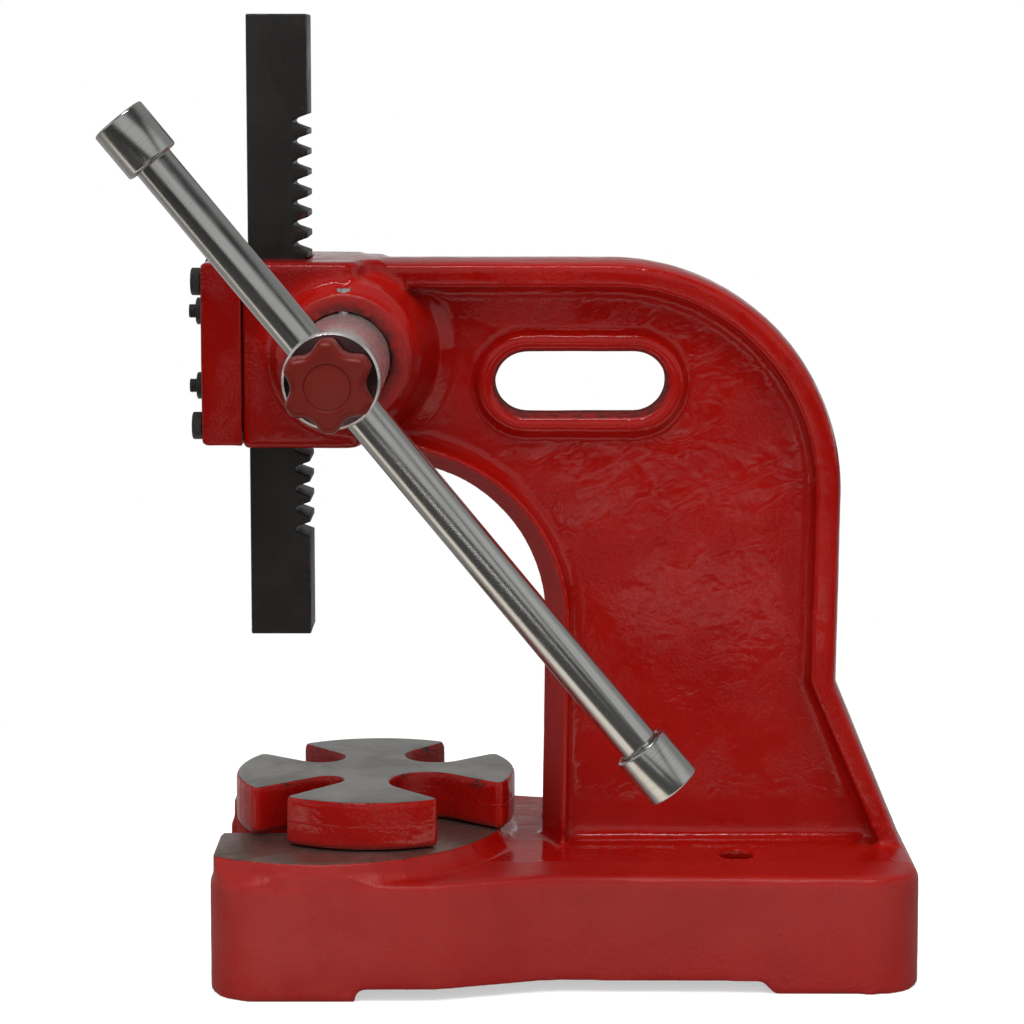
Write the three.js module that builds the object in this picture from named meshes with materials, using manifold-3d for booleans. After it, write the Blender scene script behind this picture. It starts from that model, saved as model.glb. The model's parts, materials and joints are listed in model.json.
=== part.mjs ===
// Arbor press of the one-ton bench size, in millimetres.
// While it is built, the floor is z = 0 and the ram's axis is x = y = 0. The ram is at the front,
// +x runs from the ram to the column, and the handle is on the -y side. At the end the whole press
// is moved so that its origin is the middle of the bottom of the box around it.

import * as THREE from 'three';
import { mergeVertices } from 'three/addons/utils/BufferGeometryUtils.js';
import Module from 'manifold-3d';

const wasm = await Module();
wasm.setup();

// Fits and the fineness of round shapes
const fitGap = 0.3;
const overrun = 3;
const weldDistance = 0.0001;
const roundSides = 40;
const smallRoundSides = 20;
const screwSides = 12;
const cornerSteps = 4;
const arcSteps = 14;

// Rack and pinion
const ramWidth = 25.4;
const ramBottomZ = 139.3;
const ramLength = 261.5;
const ramEdge = 0.5;
const toothPitch = 8.6;
const rackGaps = 21;
const firstGapZ = 184.2;
const pinionTeeth = 14;
const pinionAxisZ = 259.5;
const pressureAngle = THREE.MathUtils.degToRad(20);
const dedendumShare = 1.25;
const backlash = 0.5;
const undercut = 0.35;
const toothModule = toothPitch / Math.PI;
const addendum = toothModule;
const dedendum = dedendumShare * toothModule;
const pitchRadius = pinionTeeth * toothModule / 2;
const pitchLineX = ramWidth / 2 - addendum;
const pinionAxisX = pitchLineX + pitchRadius;

// Pinion shaft
const hubRadius = 19;
const hubReach = 82;
const hubChamfer = 1.5;
const toothedHalfWidth = 14;
const farJournalRadius = 22.2;
const farJournalRise = 0.5;
const shaftGrooveDepth = 1.8;
const shaftGrooveWidth = 4.6;
const tipRadius = pitchRadius + addendum;

// Head of the frame, round the pinion
const headFrontX = -13.3;
const headRearX = 36;
const headBelowPinion = 37.9;
const headAbovePinion = 39.5;
const headBottomZ = pinionAxisZ - headBelowPinion;
const headTopZ = pinionAxisZ + headAbovePinion;
const headHalfWidth = 37.5;
const headRound = 2.4;
const headCornerRadius = 3.6;
const headBlend = 9;
const armRootX = 24;
const bossRise = 7.5;
const bossFaceY = headHalfWidth + bossRise;
const bossFaceRadius = 28.1;
const bossFootRadius = 31.7;
const bossWebRadius = 35.5;
const hubEndY = -bossFaceY - hubReach;
const farJournalEndY = bossFaceY + farJournalRise;

// Arm, column and web
const armTopDrop = 0.3;
const armTopZ = headTopZ - armTopDrop;
const backX = 237.4;
const backArcRadius = 97.5;
const kneeX = 236;
const kneeZ = 119;
const throatRadius = 66;
const throatCentreX = 46;
const throatCentreZ = 145;
const throatTopAngle = THREE.MathUtils.degToRad(72);
const columnFootX = 110.4;
const flangeHalfWidth = 21;
const flangeCrown = 2.2;
const throatCrown = 8.5;
const rimWidth = 11.5;
const throatRimWidth = 10.5;
const webHalfWidth = 8;
const webFillet = 5;

// Carry slot
const slotCentreX = 127;
const slotBelowArmTop = 52.7;
const slotCentreZ = armTopZ - slotBelowArmTop;
const slotLength = 72.5;
const slotHeight = 27;
const beadWidth = 8.3;
const beadRise = 5.5;

// Base
const baseFrontX = -26.5;
const baseRearX = 267;
const baseHeight = 49;
const frontHalfWidth = 81;
const waistHalfWidth = 68;
const rearHalfWidth = 71;
const taperStartX = 66;
const taperEndX = 113;
const taperBlend = 8;
const frontCornerRadius = 22;
const rearCornerRadius = 20;
const baseEdgeRound = 3.5;
const baseWall = 8;
const baseTopWall = 10;
const footHeight = 5;
const frontFootEndX = 34;
const rearFootStartX = 206;
const mountHoleRadius = 7;
const mountHoleX = 192.8;
const mountHoleY = 32;
const mountBossRadius = 14;

// Raised work table of the base and its U-slot
const tableRise = 8;
const tableRadius = 78;
const tableCentreX = 18;
const tableFrontX = -25;
const tableFillet = 7;
const tableEdge = 1.2;
const workSlotHalfWidth = 28;

// Turning table plate
const plateCentreX = 39.2;
const plateRadius = 60;
const plateThickness = 20.5;
const plateEdge = 1.2;
const plateCornerRound = 3;
const plateSlotFlare = THREE.MathUtils.degToRad(5);
const plateSlotWidths = [13, 31, 26, 19];
const plateSlotDepths = [39, 44.5, 36.5, 36];
const plateSlotAngles = [-136, -43, 46, 137.5].map(THREE.MathUtils.degToRad);
const pivotPinRadius = 6;
const pivotPinDepth = 14;
const pivotPinRise = 10;

// Cover plate with its screws
const coverFrontX = -30.5;
const coverSideInset = 0.5;
const coverBottomInset = 1.3;
const coverTopInset = 0.3;
const coverHalfWidth = headHalfWidth - coverSideInset;
const coverBottomZ = headBottomZ + coverBottomInset;
const coverTopZ = headTopZ - coverTopInset;
const coverRound = 2.2;
const boltRadius = 3;
const boltHeadCorner = 5.75;
const boltHeadHeight = 4;
const boltHeadChamfer = 0.6;
const boltDepth = 14;
const boltSideInset = 9;
const boltUpperInset = 8.2;
const boltLowerInset = 7.5;
const boltY = coverHalfWidth - boltSideInset;
const boltUpperZ = coverTopZ - boltUpperInset;
const boltLowerZ = coverBottomZ + boltLowerInset;
const gibScrewRadius = 3;
const gibScrewAbovePinion = 16.4;
const gibScrewBelowPinion = 15.4;
const gibScrewUpperZ = pinionAxisZ + gibScrewAbovePinion;
const gibScrewLowerZ = pinionAxisZ - gibScrewBelowPinion;
const gibScrewStub = 3;
const gibScrewSlot = 0.9;
const gibNutHeight = 5;
const gibThickness = 6;
const gibHalfWidth = 11;
const gibHeight = 68;
const gibEdge = 0.4;

// Set screw of the pinion shaft
const setScrewRadius = 3;
const setScrewInset = 4;
const setScrewY = setScrewInset - bossFaceY;
const setScrewDogRadius = 1.9;
const setScrewDogLength = 2.4;
const setScrewAbovePinion = 28.9;
const setScrewTopZ = pinionAxisZ + setScrewAbovePinion;
const setScrewSlot = 0.9;

// Handle
const handleFromHubEnd = 13.5;
const handleY = hubEndY + handleFromHubEnd;
const handleAngle = THREE.MathUtils.degToRad(50.6);
const barRadius = 8;
const barEdge = 0.8;
const handleUpperReach = 129.9;
const handleLowerReach = 210;
const capRadius = 11.25;
const capLength = 23;
const capEdge = 1.1;
const capEndWall = 5;

// Clamp knob
const knobStandOff = 2.4;
const knobBodyLength = 17;
const knobTipRadius = 17.9;
const knobValleyRadius = 14.3;
const knobLobes = 6;
const knobLobeSteps = 10;
const knobLobeTurn = THREE.MathUtils.degToRad(92);
const knobTipSharpness = 1.25;
const knobTipBluntness = 1.2;
const knobRound = 4.2;
const knobNeckRadius = 10;
const knobNeckLength = 3.6;
const knobFrontY = hubEndY - knobStandOff - knobNeckLength - knobBodyLength;
const knobCapRadius = 8.5;
const knobCapThickness = 3;
const knobCapSink = 0.5;
const studRadius = 4;
const studHoldLength = 14;

// Finishes
const enamelRed = new THREE.MeshStandardMaterial({ color: 0x96191a, roughness: 0.22, metalness: 0 });
const groundSteel = new THREE.MeshStandardMaterial({ color: 0xa8a8a6, roughness: 0.22, metalness: 1 });
const machinedIron = new THREE.MeshStandardMaterial({ color: 0x6f6d69, roughness: 0.45, metalness: 0.9 });
const blackOxide = new THREE.MeshStandardMaterial({ color: 0x242220, roughness: 0.42, metalness: 0.7 });
const knobPlastic = new THREE.MeshStandardMaterial({ color: 0x70201a, roughness: 0.4, metalness: 0 });

// A solid that can be cut and joined, from a geometry
function solidOf(geometry) {
  const bare = geometry.clone();
  bare.deleteAttribute('normal');
  bare.deleteAttribute('uv');
  const welded = mergeVertices(bare, weldDistance);
  const corners = welded.index.array;
  const kept = [];
  for (let i = 0; i < corners.length; i += 3) {
    const [a, b, c] = [corners[i], corners[i + 1], corners[i + 2]];
    if (a !== b && b !== c && c !== a) {
      kept.push(a, b, c);
    }
  }
  return new wasm.Manifold(new wasm.Mesh({
    numProp: 3,
    vertProperties: welded.attributes.position.array,
    triVerts: new Uint32Array(kept),
  }));
}

// The finished geometry of a solid
function geometryOf(solid) {
  const mesh = solid.getMesh();
  const geometry = new THREE.BufferGeometry();
  geometry.setAttribute('position', new THREE.BufferAttribute(mesh.vertProperties, 3));
  geometry.setIndex(new THREE.BufferAttribute(mesh.triVerts, 1));
  geometry.computeVertexNormals();
  return geometry;
}

function named(name, solid, material) {
  const mesh = new THREE.Mesh(geometryOf(solid), material);
  mesh.name = name;
  return mesh;
}

// The near half of an outline in plan, mirrored to the far side
function mirroredPlan(nearHalf) {
  const near = nearHalf.getPoints(cornerSteps);
  const far = near.map((point) => new THREE.Vector2(point.x, -point.y)).reverse();
  return new THREE.Shape([...near, ...far]);
}

// An outline extruded between two levels, its ends drawn in by a rounded edge
function extruded(shape, from, to, edge, edgeDepth, edgeSteps) {
  const geometry = new THREE.ExtrudeGeometry(shape, {
    depth: to - from - 2 * edgeDepth,
    bevelEnabled: edge > 0,
    bevelSize: edge,
    bevelOffset: -edge,
    bevelThickness: edgeDepth,
    bevelSegments: edgeSteps,
    curveSegments: arcSteps,
  });
  return geometry.translate(0, 0, from + edgeDepth);
}

// A plan outline (x, y) standing between two heights
function upright(shape, bottomZ, topZ, edge = 0, edgeSteps = 2) {
  return solidOf(extruded(shape, bottomZ, topZ, edge, edge, edgeSteps));
}

// A side outline (x, z) reaching from one y to another
function crosswise(shape, nearY, farY, edge = 0, edgeDepth = edge, edgeSteps = 2) {
  return solidOf(extruded(shape, -farY, -nearY, edge, edgeDepth, edgeSteps).rotateX(Math.PI / 2));
}

// A profile of (radius, distance) pairs revolved about the y axis and placed
function revolved(profile, sides, place) {
  const points = profile.map(([radius, distance]) => new THREE.Vector2(radius, distance));
  return solidOf(place(new THREE.LatheGeometry(points, sides)));
}

const alongZ = (x, y) => (geometry) => geometry.rotateX(Math.PI / 2).translate(x, y, 0);
const alongX = (y, z) => (geometry) => geometry.rotateZ(-Math.PI / 2).translate(0, y, z);
const alongY = (x, z) => (geometry) => geometry.translate(x, 0, z);

// A plain round bar between two distances on its axis
function rod(radius, from, to, sides, place) {
  return revolved([[0, from], [radius, from], [radius, to], [0, to]], sides, place);
}

// A round bar with chamfered ends
function chamferedRod(radius, from, to, chamfer, sides, place) {
  return revolved([
    [0, from],
    [radius - chamfer, from],
    [radius, from + chamfer],
    [radius, to - chamfer],
    [radius - chamfer, to],
    [0, to],
  ], sides, place);
}

function block(fromX, toX, fromY, toY, fromZ, toZ) {
  const geometry = new THREE.BoxGeometry(toX - fromX, toY - fromY, toZ - fromZ);
  return solidOf(geometry.translate((fromX + toX) / 2, (fromY + toY) / 2, (fromZ + toZ) / 2));
}

// Base in plan, drawn in from its outer wall by a given amount
function basePlan(inset) {
  const front = baseFrontX + inset;
  const rear = baseRearX - inset;
  const frontY = -(frontHalfWidth - inset);
  const waistY = -(waistHalfWidth - inset);
  const rearY = -(rearHalfWidth - inset);
  const frontRound = frontCornerRadius - inset;
  const rearRound = rearCornerRadius - inset;
  const taperLean = (waistY - frontY) / (taperEndX - taperStartX) * taperBlend;
  const half = new THREE.Path();
  half.absarc(front + frontRound, frontY + frontRound, frontRound, Math.PI, 1.5 * Math.PI, false);
  half.lineTo(taperStartX - taperBlend, frontY);
  half.quadraticCurveTo(taperStartX, frontY, taperStartX + taperBlend, frontY + taperLean);
  half.lineTo(taperEndX - taperBlend, waistY - taperLean);
  half.quadraticCurveTo(taperEndX, waistY, taperEndX + taperBlend, waistY);
  half.absarc(rear - rearRound, rearY + rearRound, rearRound, 1.5 * Math.PI, 2 * Math.PI, false);
  return mirroredPlan(half);
}

// U-slot in plan, open to the front, widened by a given wall
function workSlotPlan(wall) {
  const halfWidth = workSlotHalfWidth + wall;
  const mouth = baseFrontX - overrun;
  const shape = new THREE.Shape();
  shape.moveTo(mouth, halfWidth);
  shape.lineTo(mouth, -halfWidth);
  shape.absarc(0, 0, halfWidth, -Math.PI / 2, Math.PI / 2, false);
  return shape;
}

// Hollow underside with walls, slot wall and mounting bosses left standing
function baseHollow() {
  const roof = baseHeight - baseTopWall;
  let hollow = upright(basePlan(baseWall), -overrun, roof, 0);
  hollow = hollow.subtract(upright(workSlotPlan(baseWall), -2 * overrun, roof + overrun));
  for (const side of [-1, 1]) {
    const place = alongZ(mountHoleX, side * mountHoleY);
    hollow = hollow.subtract(rod(mountBossRadius, -2 * overrun, roof + overrun, smallRoundSides, place));
  }
  return hollow;
}

// Clearance between the front and rear feet
function footRelief() {
  const shape = new THREE.Shape();
  shape.moveTo(frontFootEndX, -overrun);
  shape.lineTo(rearFootStartX + overrun, -overrun);
  shape.lineTo(rearFootStartX - footHeight, footHeight);
  shape.lineTo(frontFootEndX + footHeight, footHeight);
  shape.quadraticCurveTo(frontFootEndX, footHeight, frontFootEndX, 0);
  return crosswise(shape, -frontHalfWidth - overrun, frontHalfWidth + overrun);
}

// Raised round work table, cut straight across the front
function workTable() {
  const topZ = baseHeight + tableRise;
  const rootZ = baseHeight - baseTopWall / 2;
  const disc = revolved([
    [0, rootZ],
    [tableRadius + tableFillet, rootZ],
    [tableRadius + tableFillet, baseHeight - tableEdge],
    [tableRadius + tableFillet / 2, baseHeight + tableRise / 8],
    [tableRadius + tableFillet / 6, baseHeight + tableRise / 2],
    [tableRadius, topZ - tableEdge],
    [tableRadius - tableEdge / 2, topZ],
    [0, topZ],
  ], roundSides, alongZ(tableCentreX, 0));
  const room = upright(basePlan(tableEdge), rootZ, topZ, 0);
  const front = block(
    tableFrontX - frontHalfWidth, tableFrontX,
    -frontHalfWidth, frontHalfWidth,
    baseHeight, topZ + overrun,
  );
  return disc.intersect(room).subtract(front);
}

// Blank of the arm and column before the throat is taken out
function flangeBlank() {
  const arcZ = armTopZ - backArcRadius;
  const rootZ = baseHeight - baseTopWall / 2;
  const shape = new THREE.Shape();
  shape.moveTo(armRootX, armTopZ);
  shape.lineTo(backX - backArcRadius, armTopZ);
  shape.absarc(backX - backArcRadius, arcZ, backArcRadius, Math.PI / 2, 0, true);
  shape.lineTo(kneeX, kneeZ);
  shape.lineTo(baseRearX - flangeCrown / 2, baseHeight - baseEdgeRound / 2);
  shape.lineTo(baseRearX - baseWall / 2, rootZ);
  shape.lineTo(armRootX, rootZ);
  return crosswise(
    shape, -flangeHalfWidth, flangeHalfWidth, flangeCrown, flangeHalfWidth - flangeCrown, 2,
  );
}

// Line of the throat, or one drawn outside it: round the arc and straight on under the arm
function followThroat(shape, outside, endX) {
  const radius = throatRadius + outside;
  const leaveX = throatCentreX + radius * Math.cos(throatTopAngle);
  const leaveZ = throatCentreZ + radius * Math.sin(throatTopAngle);
  shape.absarc(throatCentreX, throatCentreZ, radius, 0, throatTopAngle, false);
  shape.lineTo(endX, leaveZ + (leaveX - endX) / Math.tan(throatTopAngle));
}

// Throat in side view: under the head, round the arc and down the front of the column
function throatOutline() {
  const shape = new THREE.Shape();
  shape.moveTo(baseFrontX, -overrun);
  shape.lineTo(columnFootX, -overrun);
  shape.lineTo(columnFootX, baseHeight);
  followThroat(shape, 0, armRootX);
  shape.lineTo(baseFrontX, headBottomZ);
  return shape;
}

// Half of the throat: true size on the middle plane and wider towards the side of the column
function throatCut(side) {
  const reach = flangeHalfWidth + overrun;
  const geometry = new THREE.ExtrudeGeometry(throatOutline(), {
    depth: overrun,
    bevelEnabled: true,
    bevelSize: throatCrown * reach / flangeHalfWidth,
    bevelThickness: reach,
    bevelSegments: 1,
    curveSegments: arcSteps,
  });
  geometry.translate(0, 0, -overrun / 2).rotateX(Math.PI / 2);
  return solidOf(geometry.translate(0, side * (reach + overrun / 2), 0));
}

// Recess beside the web in side view, inside the rims
function recessOutline() {
  const slant = (baseRearX - kneeX) / (kneeZ - baseHeight);
  const slantRim = rimWidth * Math.hypot(1, slant);
  const columnRimX = throatCentreX + throatRadius + throatRimWidth;
  const shape = new THREE.Shape();
  shape.moveTo(pinionAxisX, armTopZ - rimWidth);
  shape.lineTo(backX - backArcRadius, armTopZ - rimWidth);
  shape.absarc(
    backX - backArcRadius, armTopZ - backArcRadius, backArcRadius - rimWidth, Math.PI / 2, 0, true,
  );
  shape.lineTo(kneeX - rimWidth, kneeZ);
  shape.lineTo(baseRearX - slantRim, baseHeight);
  shape.lineTo(columnRimX - throatCentreX - throatRadius + columnFootX, baseHeight);
  followThroat(shape, throatRimWidth, pinionAxisX);
  return shape;
}

// Recess on one side, with a rounded run-out onto the web
function recessCut(side) {
  const floorY = webHalfWidth;
  const mouthY = flangeHalfWidth + webFillet + overrun;
  const [near, far] = side < 0 ? [-mouthY, -floorY] : [floorY, mouthY];
  return crosswise(recessOutline(), near, far, webFillet, webFillet, 2);
}

// A slot outline with round ends, grown by a given amount
function slotOutline(grow) {
  const radius = slotHeight / 2 + grow;
  const reach = (slotLength - slotHeight) / 2;
  const shape = new THREE.Shape();
  shape.absarc(slotCentreX + reach, slotCentreZ, radius, -Math.PI / 2, Math.PI / 2, false);
  shape.absarc(slotCentreX - reach, slotCentreZ, radius, Math.PI / 2, 1.5 * Math.PI, false);
  return shape;
}

// Rounded bead round the carry slot
function slotBead() {
  const reachY = webHalfWidth + beadRise;
  const shape = slotOutline(beadWidth);
  shape.holes.push(slotOutline(0));
  const round = beadWidth / 2 - fitGap;
  const geometry = new THREE.ExtrudeGeometry(shape, {
    depth: 2 * (reachY - round),
    bevelEnabled: true,
    bevelSize: round,
    bevelOffset: -round,
    bevelThickness: round,
    bevelSegments: 2,
    curveSegments: arcSteps / 2,
  });
  return solidOf(geometry.translate(0, 0, round - reachY).rotateX(Math.PI / 2));
}

// Head block, blended into the narrower arm behind it
function headBlock() {
  const half = new THREE.Path();
  const nearY = -headHalfWidth;
  const corner = headCornerRadius;
  half.absarc(headFrontX + corner, nearY + corner, corner, Math.PI, 1.5 * Math.PI, false);
  half.lineTo(headRearX - headBlend, nearY);
  half.quadraticCurveTo(headRearX, nearY, headRearX, (nearY - flangeHalfWidth) / 2);
  half.quadraticCurveTo(headRearX, -flangeHalfWidth, headRearX + headBlend, -flangeHalfWidth);
  return upright(mirroredPlan(half), headBottomZ, headTopZ, headRound, 2);
}

// Boss on both sides of the head, running out onto the web
function bosses() {
  const round = hubChamfer;
  const halfProfile = [
    [bossFaceRadius - round, bossFaceY],
    [bossFaceRadius, bossFaceY - round],
    [bossFootRadius, headHalfWidth],
    [bossWebRadius, flangeHalfWidth],
    [bossWebRadius + webFillet / 2, webHalfWidth + webFillet],
    [bossWebRadius + 2 * webFillet, webHalfWidth],
  ];
  const near = halfProfile.map(([radius, distance]) => [radius, -distance]);
  const far = [...halfProfile].reverse();
  return revolved(
    [[0, -bossFaceY], ...near, ...far, [0, bossFaceY]], roundSides, alongY(pinionAxisX, pinionAxisZ),
  );
}

// Channel for the ram, bores for the pinion shaft and the screw holes in the head
function headCuts() {
  const channel = ramWidth / 2 + fitGap;
  const axis = alongY(pinionAxisX, pinionAxisZ);
  const shoulderY = -toothedHalfWidth - fitGap;
  const cuts = [
    block(
      headFrontX - overrun, channel, -channel, channel,
      headBottomZ - overrun, headTopZ + overrun,
    ),
    rod(hubRadius + fitGap, -bossFaceY - overrun, 0, roundSides, axis),
    rod(farJournalRadius + fitGap, shoulderY, bossFaceY + overrun, roundSides, axis),
    rod(
      setScrewRadius + fitGap, pinionAxisZ, setScrewTopZ + overrun, screwSides,
      alongZ(pinionAxisX, setScrewY),
    ),
  ];
  for (const y of [-boltY, boltY]) {
    for (const z of [boltLowerZ, boltUpperZ]) {
      const hole = [boltRadius + fitGap, headFrontX - overrun, headFrontX + boltDepth + fitGap];
      cuts.push(rod(...hole, screwSides, alongX(y, z)));
    }
  }
  return cuts;
}

// Frame casting: base, column, arm and head
function frameCasting() {
  const skirt = block(
    baseFrontX - overrun, baseRearX + overrun,
    -frontHalfWidth - overrun, frontHalfWidth + overrun,
    -baseHeight, 0,
  );
  let column = flangeBlank();
  for (const side of [-1, 1]) {
    column = column.subtract(throatCut(side)).subtract(recessCut(side));
  }
  column = column.subtract(
    crosswise(slotOutline(beadWidth / 2), -flangeHalfWidth, flangeHalfWidth),
  ).add(slotBead());
  const bossKeep = block(
    headFrontX + headRound, backX, -bossFaceY, bossFaceY, headBottomZ + fitGap, headTopZ - headRound,
  );
  let frame = upright(basePlan(0), -baseHeight, baseHeight, baseEdgeRound, 2).subtract(skirt);
  frame = frame.add(workTable()).add(column).add(headBlock()).add(bosses().intersect(bossKeep));
  frame = frame.subtract(baseHollow()).subtract(footRelief());
  frame = frame.subtract(
    upright(workSlotPlan(0), -overrun, baseHeight + tableRise + overrun),
  );
  for (const side of [-1, 1]) {
    const place = alongZ(mountHoleX, side * mountHoleY);
    frame = frame.subtract(
      rod(mountHoleRadius, -overrun, baseHeight + overrun, smallRoundSides, place),
    );
  }
  const tableTopZ = baseHeight + tableRise;
  frame = frame.subtract(rod(
    pivotPinRadius + fitGap, tableTopZ - pivotPinDepth - fitGap, tableTopZ + overrun,
    smallRoundSides, alongZ(plateCentreX, 0),
  ));
  for (const cut of headCuts()) {
    frame = frame.subtract(cut);
  }
  return named('frame_casting', frame, enamelRed);
}

// Ram with straight-sided rack gaps in its rear face
function ram() {
  const half = ramWidth / 2;
  const tipHalf = toothPitch / 4 + addendum * Math.tan(pressureAngle);
  const rootHalf = toothPitch / 4 - dedendum * Math.tan(pressureAngle);
  const rootX = pitchLineX - dedendum;
  const shoulderX = rootX + rootHalf;
  const shoulderHalf = rootHalf + rootHalf * Math.tan(pressureAngle);
  const topZ = ramBottomZ + ramLength;
  const shape = new THREE.Shape();
  shape.moveTo(-half + ramEdge, ramBottomZ);
  shape.lineTo(half - ramEdge, ramBottomZ);
  shape.lineTo(half, ramBottomZ + ramEdge);
  for (let gap = 0; gap < rackGaps; gap += 1) {
    const z = firstGapZ + gap * toothPitch;
    shape.lineTo(half, z - tipHalf);
    shape.lineTo(shoulderX, z - shoulderHalf);
    shape.lineTo(rootX, z - rootHalf / 2);
    shape.lineTo(rootX, z + rootHalf / 2);
    shape.lineTo(shoulderX, z + shoulderHalf);
    shape.lineTo(half, z + tipHalf);
  }
  shape.lineTo(half, topZ - ramEdge);
  shape.lineTo(half - ramEdge, topZ);
  shape.lineTo(-half + ramEdge, topZ);
  shape.lineTo(-half, topZ - ramEdge);
  shape.lineTo(-half, ramBottomZ + ramEdge);
  return named('ram', crosswise(shape, -half, half, ramEdge, ramEdge, 1), blackOxide);
}

// Pinion teeth in side view: involute flanks, drawn in below the base circle
function toothedOutline() {
  const baseRadius = pitchRadius * Math.cos(pressureAngle);
  const rootRadius = pitchRadius - dedendum;
  const involute = (angle) => Math.tan(angle) - angle;
  const halfAtPitch = Math.PI / (2 * pinionTeeth) - backlash / (2 * pitchRadius);
  const halfAngle = (radius) => {
    const flank = Math.max(radius, baseRadius);
    const spread = involute(pressureAngle) - involute(Math.acos(baseRadius / flank));
    const below = Math.max(0, baseRadius - radius) / (baseRadius - rootRadius);
    return halfAtPitch + spread - below * undercut / baseRadius;
  };
  const radii = [rootRadius, (rootRadius + baseRadius) / 2, baseRadius];
  const flankSteps = 3;
  for (let step = 1; step <= flankSteps; step += 1) {
    radii.push(baseRadius + (tipRadius - baseRadius) * step / flankSteps);
  }
  const meshAngle = Math.PI - (nearestGapZ() - pinionAxisZ) / pitchRadius;
  const points = [];
  for (let tooth = 0; tooth < pinionTeeth; tooth += 1) {
    const middle = meshAngle + tooth * 2 * Math.PI / pinionTeeth;
    const put = (radius, angle) => points.push(new THREE.Vector2(
      pinionAxisX + radius * Math.cos(angle), pinionAxisZ + radius * Math.sin(angle),
    ));
    radii.forEach((radius) => put(radius, middle - halfAngle(radius)));
    [...radii].reverse().forEach((radius) => put(radius, middle + halfAngle(radius)));
  }
  return new THREE.Shape(points);
}

// Height of the rack gap that lies nearest to the pinion axis
function nearestGapZ() {
  const gap = Math.round((pinionAxisZ - firstGapZ) / toothPitch);
  return firstGapZ + gap * toothPitch;
}

// Round bar through the hub, as a cutter or as the handle itself
function alongHandle(geometry) {
  return geometry.rotateZ(-Math.PI / 2).rotateY(handleAngle).translate(pinionAxisX, handleY, pinionAxisZ);
}

function pinionShaft() {
  const axis = alongY(pinionAxisX, pinionAxisZ);
  const grooveNear = setScrewY - shaftGrooveWidth / 2;
  const grooveFar = setScrewY + shaftGrooveWidth / 2;
  const nearSide = revolved([
    [0, hubEndY],
    [hubRadius - hubChamfer, hubEndY],
    [hubRadius, hubEndY + hubChamfer],
    [hubRadius, grooveNear],
    [hubRadius - shaftGrooveDepth, grooveNear],
    [hubRadius - shaftGrooveDepth, grooveFar],
    [hubRadius, grooveFar],
    [hubRadius, -toothedHalfWidth - 2 * fitGap],
    [0, -toothedHalfWidth - 2 * fitGap],
  ], roundSides, axis);
  const farSide = revolved([
    [0, toothedHalfWidth - fitGap],
    [farJournalRadius, toothedHalfWidth - fitGap],
    [farJournalRadius, farJournalEndY - hubChamfer],
    [farJournalRadius - hubChamfer, farJournalEndY],
    [0, farJournalEndY],
  ], roundSides, axis);
  const neck = rod(
    pitchRadius - dedendum - fitGap, -toothedHalfWidth - overrun, toothedHalfWidth, roundSides, axis,
  );
  const teeth = crosswise(toothedOutline(), -toothedHalfWidth, toothedHalfWidth);
  const crossHole = rod(
    barRadius + fitGap, -hubRadius - overrun, hubRadius + overrun, smallRoundSides, alongHandle,
  );
  const studHole = rod(
    studRadius + fitGap, hubEndY - overrun, handleY, smallRoundSides, axis,
  );
  const shaft = nearSide.add(neck).add(teeth).add(farSide).subtract(crossHole).subtract(studHole);
  return named('pinion_shaft', shaft, groundSteel);
}

// Slotted grub screw whose dog point runs in the groove of the shaft
function pinionSetScrew() {
  const tipZ = pinionAxisZ + hubRadius - shaftGrooveDepth + fitGap;
  const screw = revolved([
    [0, tipZ],
    [setScrewDogRadius, tipZ],
    [setScrewDogRadius, tipZ + setScrewDogLength],
    [setScrewRadius, tipZ + setScrewDogLength],
    [setScrewRadius, setScrewTopZ],
    [0, setScrewTopZ],
  ], screwSides, alongZ(pinionAxisX, setScrewY));
  const slot = block(
    pinionAxisX - setScrewRadius - overrun, pinionAxisX + setScrewRadius + overrun,
    setScrewY - setScrewSlot / 2, setScrewY + setScrewSlot / 2,
    setScrewTopZ - setScrewSlot, setScrewTopZ + overrun,
  );
  return named('pinion_set_screw', screw.subtract(slot), groundSteel);
}

// Cover plate with its bolt holes and the pocket for the gib
function coverPlate() {
  const rearX = headFrontX - fitGap;
  const shape = new THREE.Shape();
  shape.moveTo(-coverHalfWidth, coverBottomZ);
  shape.lineTo(coverHalfWidth, coverBottomZ);
  shape.lineTo(coverHalfWidth, coverTopZ);
  shape.lineTo(-coverHalfWidth, coverTopZ);
  const geometry = extruded(shape, coverFrontX, rearX + coverRound, coverRound, coverRound, 2);
  let plate = solidOf(geometry.rotateX(Math.PI / 2).rotateZ(Math.PI / 2));
  plate = plate.subtract(block(
    rearX, rearX + 2 * coverRound, -headHalfWidth, headHalfWidth, headBottomZ, headTopZ,
  ));
  plate = plate.subtract(gibBlock(fitGap));
  for (const y of [-boltY, boltY]) {
    for (const z of [boltLowerZ, boltUpperZ]) {
      const hole = [boltRadius + fitGap, coverFrontX - overrun, headFrontX + overrun];
      plate = plate.subtract(rod(...hole, screwSides, alongX(y, z)));
    }
  }
  for (const z of [gibScrewLowerZ, gibScrewUpperZ]) {
    const hole = [gibScrewRadius + fitGap, coverFrontX - overrun, headFrontX + overrun];
    plate = plate.subtract(rod(...hole, screwSides, alongX(0, z)));
  }
  return named('cover_plate', plate, enamelRed);
}

// Gib strip, or the pocket for it when grown by a clearance
function gibBlock(grow) {
  const rearX = -ramWidth / 2 - fitGap;
  const middleZ = (coverBottomZ + coverTopZ) / 2;
  return block(
    rearX - gibThickness - grow, rearX,
    -gibHalfWidth - grow, gibHalfWidth + grow,
    middleZ - gibHeight / 2 - grow, middleZ + gibHeight / 2 + grow,
  );
}

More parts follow.
